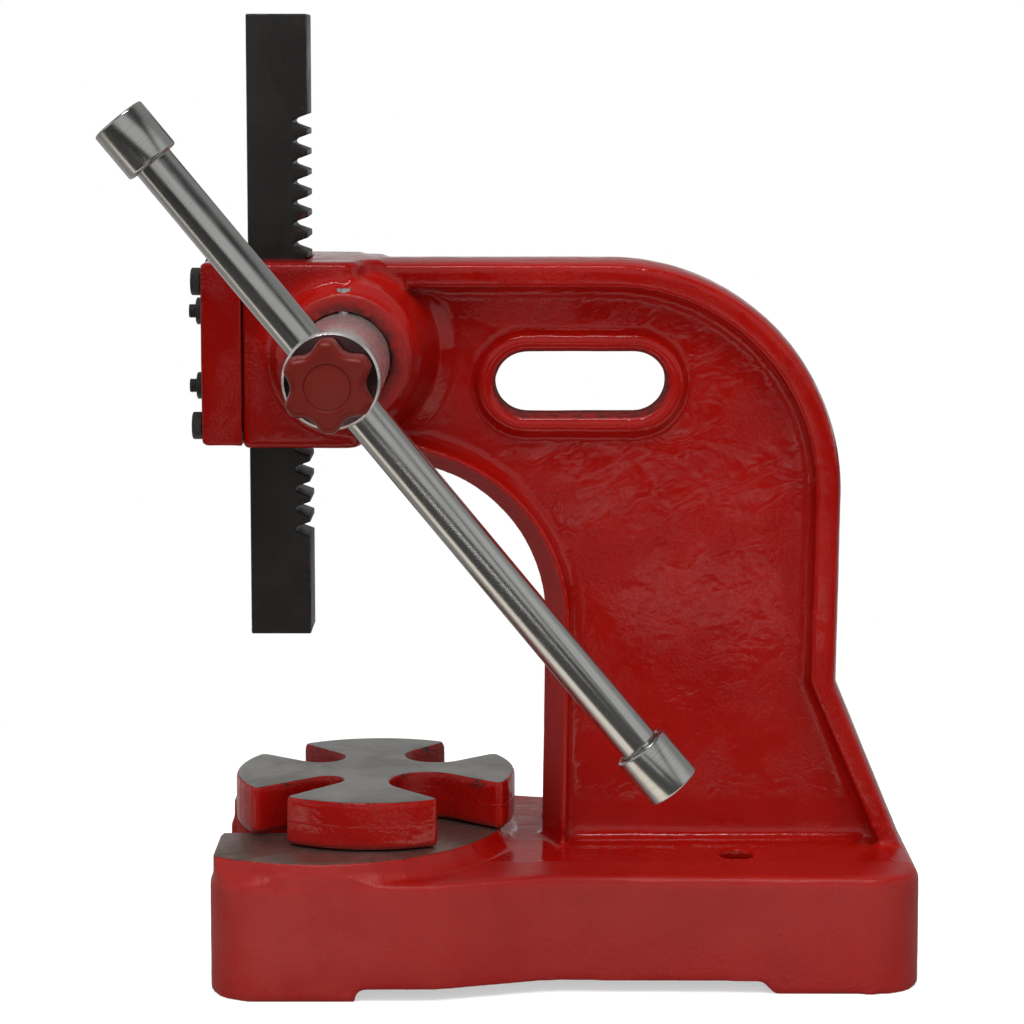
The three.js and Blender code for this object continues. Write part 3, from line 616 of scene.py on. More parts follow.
@dataclass(frozen=True)
class FrameEnamel(PaintedCasting):
    """Enamel of the frame: rippled web, grimy slot, dull throat, painted shade on the head, blasted
    boss face with a painted sheen.
    """

    web_middle: float = 34.5 * MM
    web_reach: tuple[float, float] = (9.5 * MM, 14.0 * MM)
    ripple_x: tuple[float, float] = (-25.0 * MM, 15.0 * MM)
    ripple_z: tuple[float, float] = (150.0 * MM, 200.0 * MM)
    ripple_least: float = 0.22
    slot_centre: tuple[float, float] = (24.2 * MM, 246.0 * MM)
    slot_half: float = 22.75 * MM
    slot_reach: tuple[float, float] = (14.0 * MM, 15.1 * MM)
    slot_grime: Patches = Patches(0.36, 0.60, Grain(0.0026, 4, 0.65))
    slot_share: float = 0.8
    slot_roughness: float = 0.9
    throat_centre: tuple[float, float] = (-56.8 * MM, 145.0 * MM)
    throat_reach: tuple[float, float] = (73.5 * MM, 74.8 * MM)
    throat_x: tuple[float, float] = (-56.8 * MM, -50.8 * MM)
    throat_z: tuple[float, float] = (58.5 * MM, 62.5 * MM)
    throat_roughness: float = 0.75
    boss: tuple[float, float] = (0.0, 0.0)
    boss_front: float = -8.0 * MM
    boss_worn: Patches = Patches(0.38, 0.62, Grain(0.016, 3))
    ring_reach: tuple[float, float] = (29.5 * MM, 37.0 * MM)
    ring_pitch: float = 2.1 * MM
    ring_depth: float = 0.18
    ring_grain: Grain = Grain(0.02, 2)
    ring_wander: float = 2.5
    # Painted shade over the head: where it falls and how dark it is
    painted_shade_x: tuple[float, float] = (-75.0 * MM, 5.0 * MM)
    painted_shade_z: tuple[float, float] = (186.0 * MM, 211.0 * MM)
    painted_shade_share: float = 0.68
    painted_shade_red: Colour = (0.128, 0.0016, 0.0011)
    lit_reach: tuple[float, float] = (34.0 * MM, 40.0 * MM)
    lit_above: tuple[float, float] = (-5.0 * MM, 15.0 * MM)
    boss_face: float = -9.6 * MM
    face_edge: float = 0.6 * MM
    face_grain: Grain = Grain(0.0013, 3, 0.65)
    face_depth: float = 0.20
    face_roughness: float = 0.42
    face_dulled: float = 0.75
    # Painted sheen on the boss face: its pink, its patches and its fade towards the rear
    sheen_red: Colour = (0.275, 0.0120, 0.0085)
    sheen_patches: Patches = Patches(0.30, 0.62, Grain(0.014, 3, 0.6))
    sheen_share: float = 0.8
    sheen_fade_width: float = 25.0 * MM
    sheen_loss: float = 0.7
    speck_reach: tuple[float, float] = (0.60, 0.70)
    speck_worn: tuple[float, float] = (0.2, 0.9)
    speck_share: float = 0.5
    hub_reach: tuple[float, float] = (20.0 * MM, 25.5 * MM)
    hub_grime: Patches = Patches(0.34, 0.58, Grain(0.0030, 4, 0.65))
    hub_share: float = 0.8

    def rippled(self, bench: Bench) -> Value:
        """Return the web above the column, where the enamel ran while it was wet.

        Args:
            bench: The material's bench.

        Returns:
            The share of the ripples, from 0 to 1.
        """
        x, y, z = bench.axes()
        out = bench.math("ABSOLUTE", y - self.web_middle)
        web = bench.until(out, *self.web_reach)
        most = bench.between(z, *self.ripple_z) * bench.between(x, *self.ripple_x)
        return web * (most * (1 - self.ripple_least) + self.ripple_least)

    def marked(self, bench: Bench, paint: Layer) -> Layer:
        """Return the enamel with the marks of the slot, the throat, the head and the boss.

        Args:
            bench: The material's bench.
            paint: The enamel, which gets the marks.

        Returns:
            The enamel with its marks.
        """
        x, _, z = bench.axes()
        out = bench.distance(x - self.boss[0], z - self.boss[1])
        worn = bench.patches(self.boss_worn)
        self.grime_slot(bench, paint)
        self.dull_throat(bench, paint)
        self.turn_boss(bench, paint, out, worn)
        self.paint_shade_on_head(bench, paint, out)
        self.blast_face(bench, paint, out, worn)
        return paint

    def grime_slot(self, bench: Bench, paint: Layer) -> None:
        """Put grime on the wall of the carry slot.

        Args:
            bench: The material's bench.
            paint: The enamel, which gets the marks.
        """
        x, _, z = bench.axes()
        along = bench.math("ABSOLUTE", x - self.slot_centre[0]) - self.slot_half
        away = bench.distance(bench.math("MAXIMUM", along, 0.0), z - self.slot_centre[1])
        wall = bench.until(away, *self.slot_reach)
        grime = wall * bench.patches(self.slot_grime) * self.slot_share
        paint.colour = bench.blend(grime, paint.colour, self.enamel.soot_and_shade)
        paint.roughness = bench.choose(wall, paint.roughness, self.slot_roughness)

    def dull_throat(self, bench: Bench, paint: Layer) -> None:
        """Dull the inner side of the throat, which the bright floor would light up.

        Args:
            bench: The material's bench.
            paint: The enamel, which gets the marks.
        """
        x, _, z = bench.axes()
        centre_x, centre_z = self.throat_centre
        inward = bench.distance(x - centre_x, bench.math("MAXIMUM", z - centre_z, 0.0))
        throat = bench.until(inward, *self.throat_reach)
        throat = throat * bench.between(x, *self.throat_x) * bench.between(z, *self.throat_z)
        paint.roughness = bench.choose(throat, paint.roughness, self.throat_roughness)

    def turn_boss(self, bench: Bench, paint: Layer, out: Signal, worn: Signal) -> None:
        """Leave turning marks round the cone of the near boss.

        Args:
            bench: The material's bench.
            paint: The enamel, which gets the marks.
            out: Distance from the axis of the boss.
            worn: Where the skin is worn, from 0 to 1.
        """
        _, y, _ = bench.axes()
        near_rim, far_rim = self.ring_reach
        turned = bench.between(out, near_rim, near_rim + MM)
        turned = turned * bench.until(out, far_rim - MM, far_rim)
        turned = turned * bench.until(y, self.boss_front, self.boss_front + MM)
        wander = bench.noise(self.ring_grain) * self.ring_wander
        rings = bench.math("SINE", out * (2 * math.pi / self.ring_pitch) + wander)
        paint.height = paint.height + rings * turned * worn * self.ring_depth

    def paint_shade_on_head(self, bench: Bench, paint: Layer, out: Signal) -> None:
        """Paint shade on the head by darkening it, apart from the upper half of the near boss,
        which the lamps reach.

        Args:
            bench: The material's bench.
            paint: The enamel, which gets the marks.
            out: Distance from the axis of the boss.
        """
        x, _, z = bench.axes()
        # Painted shade: the head is darkened, apart from the lit upper half of the near boss
        head = bench.until(x, *self.painted_shade_x) * bench.between(z, *self.painted_shade_z)
        low, high = self.lit_above
        upper = bench.between(z, self.boss[1] + low, self.boss[1] + high)
        lit = bench.until(out, *self.lit_reach) * upper
        painted_shade = head * (1.0 - lit) * self.painted_shade_share
        paint.colour = bench.blend(painted_shade, paint.colour, self.painted_shade_red)

    def blast_face(self, bench: Bench, paint: Layer, out: Signal, worn: Signal) -> None:
        """Give the flat face of the near boss a blasted skin, a painted sheen that fades towards
        the rear, and grime round the hub.

        Args:
            bench: The material's bench.
            paint: The enamel, which gets the marks.
            out: Distance from the axis of the boss.
            worn: Where the skin is worn, from 0 to 1.
        """
        x, y, _ = bench.axes()
        face = bench.until(y, self.boss_face - self.face_edge, self.boss_face)
        blasted = bench.noise(self.face_grain)
        paint.height = paint.height + blasted * face * self.face_depth
        dulled = face * self.face_dulled
        paint.roughness = bench.choose(dulled, paint.roughness, self.face_roughness)
        # Painted sheen: paler pink patches on the boss face, fading towards the rear
        rear = bench.between(x, self.boss[0], self.boss[0] + self.sheen_fade_width)
        pale = bench.patches(self.sheen_patches) * (1.0 - rear * self.sheen_loss)
        paint.colour = bench.blend(face * pale * self.sheen_share, paint.colour, self.sheen_red)
        specks = bench.between(blasted, *self.speck_reach) * bench.between(worn, *self.speck_worn)
        ring = bench.until(out, *self.hub_reach) * bench.patches(self.hub_grime)
        stains = bench.math("MAXIMUM", specks * self.speck_share, ring * self.hub_share)
        paint.colour = bench.blend(face * stains, paint.colour, self.enamel.soot_and_shade)


@dataclass(frozen=True)
class PlateEnamel(PaintedCasting):
    """Enamel of the table plate: a parting line round its side, oil in its slots and painted shade
    along its foot.
    """

    middle: float = 0.0
    radius: float = 1.0
    line_height: float = 0.16
    line_below: float = 0.5 * MM
    line_above: float = 0.6 * MM
    line_grain: Grain = Grain(0.012, 2)
    line_wander: float = 1.2 * MM
    line_shown: Patches = Patches(0.40, 0.55, Grain(0.02, 2))
    slot_depths: tuple[float, float] = (7.0 * MM, 4.0 * MM)
    slot_roughness: float = 0.34
    slot_dulled: float = 0.7
    sand_height: float = 0.34
    sand_grain: Grain = Grain(0.0017, 3, 0.6)
    # Colour of oil, also used for the painted shade along the foot
    oil_and_shade_colour: Colour = (0.016, 0.014, 0.012)
    oil_blots: Patches = Patches(0.57, 0.62, Grain(0.012, 4, 0.65))
    oil_depths: tuple[float, float] = (6.5 * MM, 2.0 * MM)
    oil_and_shade_share: float = 0.92
    foot_shade_depths: tuple[float, float] = (9.2 * MM, 7.2 * MM)
    foot_shade_share: float = 0.55

    def marked(self, bench: Bench, paint: Layer) -> Layer:
        """Return the enamel with the parting line, the oily patches and the painted shade along the
        foot.

        Args:
            bench: The material's bench.
            paint: The enamel, which gets the marks.

        Returns:
            The enamel with its marks.
        """
        x, y, z = bench.axes()
        level = z + (bench.noise(self.line_grain) - 0.5) * self.line_wander
        step = bench.between(level, self.middle - self.line_below, self.middle)
        ridge = step * bench.until(level, self.middle, self.middle + self.line_above)
        across = bench.distance(x - self.centre[0], y - self.centre[1])
        inside = bench.until(across, *(self.radius - depth for depth in self.slot_depths))
        line = ridge * bench.patches(self.line_shown) * (1.0 - inside)
        sand = bench.noise(self.sand_grain) * inside
        paint.height = paint.height + line * self.line_height + sand * self.sand_height
        upper = bench.between(z, *(self.face_height - depth for depth in self.oil_depths))
        blots = upper * bench.patches(self.oil_blots) * inside
        # Painted shade: the bottom of the plate's side, where it sits on the table, is darkened
        foot_shade = bench.until(z, *(self.middle - depth for depth in self.foot_shade_depths))
        oil_and_shade = bench.math("MAXIMUM", blots, foot_shade * self.foot_shade_share) * self.oil_and_shade_share
        paint.colour = bench.blend(oil_and_shade, paint.colour, self.oil_and_shade_colour)
        dulled = inside * self.slot_dulled
        paint.roughness = bench.choose(dulled, paint.roughness, self.slot_roughness)
        return paint


@dataclass(frozen=True)
class PlainEnamel:
    """Enamel with no bare face."""

    name: str
    enamel: Enamel = Enamel()

    def make(self) -> bpy.types.Material:
        """Build the material.

        Returns:
            The material.
        """
        bench = Bench(self.name)
        paint = self.enamel.layer(bench, bench.attribute("relief"))
        return paint.close(bench, IOR=self.enamel.ior)


class Lay(Enum):
    """Direction of the marks that a tool leaves on steel."""

    ALONG = "along"
    AROUND = "around"


@dataclass(frozen=True)
class Steel:
    """Bright steel, ground along its axis or turned round it."""

    name: str
    lay: Lay
    turn: tuple[float, float, float]
    colour: Colour = (0.62, 0.62, 0.605)
    shade: Colour = (0.47, 0.47, 0.465)
    smooth: float = 0.10
    rough: float = 0.21
    smudges: Patches = Patches(0.42, 0.74, Grain(0.018, 4, 0.6))
    marks: float = 0.0007
    mark_size: float = 0.0007
    mark_length: float = 60.0
    mark_grain: Grain = Grain(1.0, 3, 0.6)
    shade_reach: tuple[float, float] = (0.35, 0.7)
    shade_share: float = 0.5
    band_width: float = 4.0
    band_grain: Grain = Grain(1.0, 2, 0.5)
    grooves: float = 0.0
    groove_scale: tuple[float, float, float] = (2600.0, 90.0, 90.0)
    groove_grain: Grain = Grain(1.0, 1, 0.5)
    metal: float = 1.0
    pit: Colour = (0.12, 0.11, 0.10)
    pits: Patches = Patches(0.73, 0.77, Grain(0.0009, 1))
    pit_share: float = 0.5

    def make(self) -> bpy.types.Material:
        """Build the material.

        Returns:
            The material.
        """
        bench = Bench(self.name)
        fine = 1 / self.mark_size
        long = fine / self.mark_length
        scale = (long, fine, fine) if self.lay is Lay.ALONG else (fine, long, long)
        lines = bench.noise(self.mark_grain, bench.stretched(scale, self.turn))
        wide = tuple(part / self.band_width for part in scale)
        bands = bench.noise(self.band_grain, bench.stretched(wide, self.turn))
        shaded = bench.between(lines, *self.shade_reach) * self.shade_share
        colour = bench.blend(shaded, self.colour, self.shade)
        colour = bench.blend(bench.patches(self.pits) * self.pit_share, colour, self.pit)
        roughness = bench.choose(bench.patches(self.smudges), self.smooth, self.rough)
        height = lines * self.marks + bands * self.marks
        grooves = bench.noise(self.groove_grain, bench.stretched(self.groove_scale, self.turn))
        height = height + grooves * self.grooves
        return Layer(colour, roughness, self.metal, height).close(bench)


@dataclass(frozen=True)
class BlackOxide:
    """Blackened satin steel, clouded and specked with pale dust."""

    name: str
    colour: Colour = (0.0175, 0.0163, 0.0155)
    faded: Colour = (0.0225, 0.0208, 0.0196)
    clouds: Patches = Patches(0.36, 0.72, Grain(0.022, 4, 0.6))
    rubbed: Colour = (0.16, 0.15, 0.14)
    dust: Patches = Patches(0.66, 0.74, Grain(0.0007, 2, 0.6))
    dust_share: float = 0.35
    roughness: float = 0.38
    rougher: float = 0.1
    metal: float = 0.55
    grain: Grain = Grain(0.0005, 2)
    grain_height: float = 0.003

    def layer(self, bench: Bench) -> Layer:
        """Build the blackened layer.

        Args:
            bench: The material's bench.

        Returns:
            The layer.
        """
        cloud = bench.patches(self.clouds)
        colour = bench.blend(cloud, self.colour, self.faded)
        colour = bench.blend(bench.patches(self.dust) * self.dust_share, colour, self.rubbed)
        rough = bench.choose(cloud, self.roughness, self.roughness + self.rougher)
        return Layer(colour, rough, self.metal, bench.noise(self.grain) * self.grain_height)

    def make(self) -> bpy.types.Material:
        """Build the material for a small piece."""
        bench = Bench(self.name)
        return self.layer(bench).close(bench)


@dataclass(frozen=True)
class RamOxide:
    """Black oxide of the ram, worn along its corners and specked with red near the rack."""

    name: str
    low: tuple[float, float, float]
    high: tuple[float, float, float]
    oxide: BlackOxide = BlackOxide("ram_base")
    corner: float = 0.45 * MM
    rubbing: Patches = Patches(0.38, 0.62, Grain(0.004, 4, 0.65))
    rub_reach: tuple[float, float] = (1.0, 1.6)
    rub_share: float = 0.75
    rub_roughness: float = 0.3
    overspray: Colour = (0.22, 0.012, 0.010)
    mist: Patches = Patches(0.60, 0.72, Grain(0.0026, 4, 0.7))
    mist_depths: tuple[float, float] = (6.5 * MM, 2.0 * MM)
    mist_share: float = 0.55

    def make(self) -> bpy.types.Material:
        """Build the material.

        Returns:
            The material.
        """
        bench = Bench(self.name)
        base = self.oxide.layer(bench)
        parts = bench.axes()
        reaches = []
        for part, low, high in zip(parts, self.low, self.high):
            off = bench.math("ABSOLUTE", part - (low + high) / 2)
            edge = (high - low) / 2 - self.corner
            reaches.append(bench.between(off, edge, edge + self.corner / 2))
        side, front, end = reaches
        worn = bench.math("MINIMUM", side + front + end, 2.0)
        worn = bench.between(worn, *self.rub_reach) * bench.patches(self.rubbing)
        colour = bench.blend(worn * self.rub_share, base.colour, self.oxide.rubbed)
        rack = bench.between(parts[0], *(self.high[0] - depth for depth in self.mist_depths))
        mist = bench.patches(self.mist) * rack * self.mist_share
        colour = bench.blend(mist, colour, self.overspray)
        roughness = bench.choose(worn, base.roughness, self.rub_roughness)
        return Layer(colour, roughness, base.metallic, base.height).close(bench)


@dataclass(frozen=True)
class KnobPlastic:
    """Satin red plastic, a little dusty."""

    name: str
    colour: Colour = (0.105, 0.0044, 0.0015)
    dust: Colour = (0.118, 0.0086, 0.0042)
    clouds: Patches = Patches(0.40, 0.75, Grain(0.011, 4, 0.6))
    dust_share: float = 0.35
    lint: Colour = (0.30, 0.17, 0.14)
    threads: Patches = Patches(0.69, 0.75, Grain(0.0005, 2, 0.6))
    lint_share: float = 0.3
    smooth: float = 0.30
    rough: float = 0.42
    fine: Grain = Grain(0.0004, 2)
    fine_height: float = 0.004
    wave: Grain = Grain(0.006, 2)
    wave_height: float = 0.01
    ior: float = 1.34

    def make(self) -> bpy.types.Material:
        """Build the material.

        Returns:
            The material.
        """
        bench = Bench(self.name)
        cloud = bench.patches(self.clouds)
        colour = bench.blend(cloud * self.dust_share, self.colour, self.dust)
        colour = bench.blend(bench.patches(self.threads) * self.lint_share, colour, self.lint)
        roughness = bench.choose(cloud, self.smooth, self.rough)
        waves = bench.noise(self.wave) * self.wave_height
        grain = bench.noise(self.fine) * self.fine_height + waves
        return Layer(colour, roughness, 0.0, grain).close(bench, IOR=self.ior)


# Modelling by hand


def deselect() -> None:
    """Leave edit mode and deselect everything."""
    active = bpy.context.view_layer.objects.active
    if active is not None and active.mode != "OBJECT":
        bpy.ops.object.mode_set(mode="OBJECT")
    bpy.ops.object.select_all(action="DESELECT")


def take(*pieces: bpy.types.Object) -> None:
    """Select pieces alone, the last of them active.

    Args:
        pieces: The pieces.
    """
    deselect()
    for piece in pieces:
        piece.select_set(True)
        bpy.context.view_layer.objects.active = piece


def edit(piece: bpy.types.Object, *steps: Callable[[], Any], pick: bool = True) -> None:
    """Run operators on a piece in edit mode.

    Args:
        piece: The piece.
        steps: The operators, called in order.
        pick: Whether the whole mesh is selected first.
    """
    take(piece)
    bpy.ops.object.mode_set(mode="EDIT")
    if pick:
        bpy.ops.mesh.select_all(action="SELECT")
    for step in steps:
        step()
    bpy.ops.object.mode_set(mode="OBJECT")


def fixed(name: str) -> bpy.types.Object:
    """Name the primitive just added and put its place into its mesh.

    Args:
        name: Its name.

    Returns:
        The piece.
    """
    piece = bpy.context.view_layer.objects.active
    piece.name = name
    piece.data.name = name
    take(piece)
    bpy.ops.object.transform_apply(location=True, rotation=True, scale=True)
    return piece


def node_copy(node: str, name: str) -> bpy.types.Object:
    """Copy a CAD node's mesh and merge its loose triangles.

    Args:
        node: The node.
        name: The copy's name.

    Returns:
        The copy.
    """
    mesh = frame["nodes"][node].data.copy()
    mesh.materials.clear()
    mesh.name = name
    piece = bpy.data.objects.new(name, mesh)
    bpy.context.scene.collection.objects.link(piece)
    edit(piece, lambda: bpy.ops.mesh.remove_doubles(threshold=MM / 1000))
    return piece


def cylinder(
    name: str,
    sides: int,
    radius: float,
    depth: float,
    place: Sequence[float],
    turn: Sequence[float] = (0, 0, 0),
) -> bpy.types.Object:
    """Add a cylinder that stands along z before it is turned.

    Args:
        name: The piece's name.
        sides: Number of faces round it.
        radius: Its radius.
        depth: Its length.
        place: Its middle.
        turn: Its rotation.

    Returns:
        The cylinder.
    """
    deselect()
    bpy.ops.mesh.primitive_cylinder_add(
        vertices=sides, radius=radius, depth=depth, location=place, rotation=turn
    )
    return fixed(name)


def modify(piece: bpy.types.Object, kind: str, **settings: Any) -> None:
    """Add a modifier and apply it.

    Args:
        piece: The piece.
        kind: The modifier's type.
        settings: Its properties.
    """
    take(piece)
    modifier = piece.modifiers.new(kind.lower(), kind)
    for key, value in settings.items():
        setattr(modifier, key, value)
    bpy.ops.object.modifier_apply(modifier=modifier.name)


def combine(piece: bpy.types.Object, operation: str, tool: bpy.types.Object) -> None:
    """Change a piece by a boolean operation with a tool, and remove the tool."""
    modify(piece, "BOOLEAN", operation=operation, object=tool, solver="EXACT")
    bpy.data.objects.remove(tool)


def on_faces(
    piece: bpy.types.Object,
    wanted: Callable[[bpy.types.MeshPolygon], bool],
    *steps: Callable[[], Any],
) -> None:
    """Run operators on some faces of a piece in edit mode.

    Args:
        piece: The piece.
        wanted: Says of a face whether it is one of them.
        steps: The operators, called in order.
    """
    edit(piece, lambda: bpy.ops.mesh.select_all(action="DESELECT"), pick=False)
    for face in piece.data.polygons:
        face.select = wanted(face)
    edit(piece, *steps, pick=False)


def middle_of(node: str) -> Vector:
    """Return the middle of a CAD node's box."""
    low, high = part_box(node)
    return (low + high) / 2


def flat_faces_joined(piece: bpy.types.Object, angle: float = 0.5) -> None:
    """Join the triangles of flat faces."""
    limit = math.radians(angle)
    edit(piece, lambda: bpy.ops.mesh.dissolve_limited(angle_limit=limit, delimit={"NORMAL"}))


def shade(piece: bpy.types.Object, angle: float = 40.0) -> None:
    """Shade a piece smooth up to an angle in degrees."""
    take(piece)
    bpy.ops.object.shade_smooth_by_angle(angle=math.radians(angle))


def edges_rounded(
    piece: bpy.types.Object, width: float, segments: int = 3, angle: float = 35.0
) -> None:
    """Round the sharp edges of a piece and shade the rest of it smooth.

    Args:
        piece: The piece.
        width: Width of the rounding in metres.
        segments: Number of faces across it.
        angle: Edges sharper than this are rounded, in degrees.
    """
    modify(
        piece, "BEVEL", width=width, segments=segments, limit_method="ANGLE",
        angle_limit=math.radians(angle), use_clamp_overlap=True, miter_outer="MITER_ARC",
    )
    shade(piece, 30)


def points_of(piece: bpy.types.Object) -> np.ndarray:
    """Return the positions of a piece's points, one row each.

    Args:
        piece: The piece.

    Returns:
        The positions.
    """
    flat = np.empty(len(piece.data.vertices) * 3)
    piece.data.vertices.foreach_get("co", flat)
    return flat.reshape(-1, 3)


def weighted(piece: bpy.types.Object, name: str, weights: np.ndarray) -> None:
    """Write a vertex group.

    Args:
        piece: The piece.
        name: The group's name.
        weights: One weight from 0 to 1 for each point.
    """
    group = piece.vertex_groups.new(name=name)
    steps = 20
    rounded = np.rint(np.clip(weights, 0, 1) * steps).astype(int)
    for step in range(1, steps + 1):
        chosen = np.nonzero(rounded == step)[0]
        if len(chosen):
            group.add(chosen.tolist(), step / steps, "REPLACE")


def mark_relief(piece: bpy.types.Object, rounds: int = 2) -> None:
    """Keep half the curvature on the points, above 0 in hollows and below 0 on crests.

    Args:
        piece: The piece.
        rounds: How often the value is evened out with its neighbours.
    """
    mesh = piece.data
    places = points_of(piece)
    count = len(places)
    normals = np.empty(count * 3)
    mesh.vertices.foreach_get("normal", normals)
    normals = normals.reshape(-1, 3)
    pairs = np.empty(len(mesh.edges) * 2, np.int32)
    mesh.edges.foreach_get("vertices", pairs)
    first, second = pairs.reshape(-1, 2).T
    step = places[second] - places[first]
    square = np.maximum((step**2).sum(1), 1e-12)
    rise_first = (step * normals[first]).sum(1) / square
    rise_second = -(step * normals[second]).sum(1) / square
    ends = np.concatenate([first, second])
    degree = np.maximum(np.bincount(ends, minlength=count), 1)
    relief = np.bincount(ends, np.concatenate([rise_first, rise_second]), count) / degree
    for _ in range(rounds):
        others = np.concatenate([relief[second], relief[first]])
        relief = (relief + np.bincount(ends, others, count) / degree) / 2
    kept = mesh.attributes.new("relief", "FLOAT", "POINT")
    kept.data.foreach_set("value", relief.astype(np.float32))


def dress(
    piece: bpy.types.Object,
    body: Body,
    slot: Slot,
    material: bpy.types.Material,
    *nodes: str,
) -> bpy.types.Object:
    """Give a piece its finish and its place in the press.

    Args:
        piece: The piece.
        body: The body that it moves with.
        slot: The record's slot that its finish is; not used.
        material: The finish.
        nodes: CAD nodes that it stands for.

    Returns:
        The piece.
    """
    piece.data.materials.clear()
    piece.data.materials.append(material)
    if nodes:
        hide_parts(*nodes)
    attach(piece, body.value)
    LOG.info("%s: %d faces", piece.name, len(piece.data.polygons))
    return piece


def dress_node(node: str, material: bpy.types.Material) -> None:
    """Give a CAD node that stays its finish.

    Args:
        node: The CAD node.
        material: The finish.
    """
    for place in frame["nodes"][node].material_slots:
        place.material = material
    shade(frame["nodes"][node])
    LOG.info("%s: kept", node)


@dataclass(frozen=True)
class Lump:
    """One size of unevenness in a casting's skin."""

    name: str
    size: float
    depth: float
    layers: int = 1

    def press(self, piece: bpy.types.Object, group: str) -> None:
        """Push the skin out and in by half the depth, where the group lets it.

        Args:
            piece: The piece.
            group: The vertex group that limits it.
        """
        pattern = bpy.data.textures.new(self.name, "CLOUDS")
        pattern.noise_scale = self.size
        pattern.noise_depth = self.layers
        pattern.noise_basis = "ORIGINAL_PERLIN"
        modify(
            piece, "DISPLACE", texture=pattern, texture_coords="LOCAL", direction="NORMAL",
            strength=self.depth, mid_level=0.5, vertex_group=group,
        )


@dataclass(frozen=True)
class Skin:
    """How a plain solid becomes the uneven skin of a sand casting."""

    voxel: float
    smoothing: int
    most: int
    lumps: tuple[Lump, ...]

    def cast(
        self,
        piece: bpy.types.Object,
        node: str,
        uneven: Callable[[np.ndarray], np.ndarray],
        crisp: Callable[[np.ndarray], np.ndarray],
    ) -> None:
        """Turn a piece into a casting that stays in the box of its node.

        Args:
            piece: The plain solid.
            node: The CAD node that it stands for.
            uneven: Gives each place its share of the unevenness.
            crisp: Gives each place its pull back to the solid's own edges.
        """
        pattern = node_copy(node, "plain_solid")
        modify(piece, "REMESH", mode="VOXEL", voxel_size=self.voxel, use_smooth_shade=True)
        modify(piece, "SMOOTH", factor=0.5, iterations=self.smoothing)
        weighted(piece, "crisp", crisp(points_of(piece)))
        modify(
            piece, "SHRINKWRAP", target=pattern, wrap_method="NEAREST_SURFACEPOINT",
            vertex_group="crisp",
        )
        bpy.data.objects.remove(pattern)
        weighted(piece, "uneven", uneven(points_of(piece)))
        for lump in self.lumps:
            lump.press(piece, "uneven")
        piece.vertex_groups.clear()
        low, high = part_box(node)
        held = np.clip(points_of(piece), np.array(low), np.array(high))
        piece.data.vertices.foreach_set("co", held.ravel())
        triangles = sum(len(face.vertices) - 2 for face in piece.data.polygons)
        if triangles > self.most:
            modify(
                piece, "DECIMATE", ratio=self.most / triangles, use_collapse_triangulate=True
            )
        mark_relief(piece)
        take(piece)
        bpy.ops.object.shade_smooth()


def near(value: np.ndarray, limit: float, soft: float) -> np.ndarray:
    """Return 0 below a limit, rising to 1 over a soft width."""
    return np.clip((value - limit) / soft, 0, 1)


# Sub-assemblies


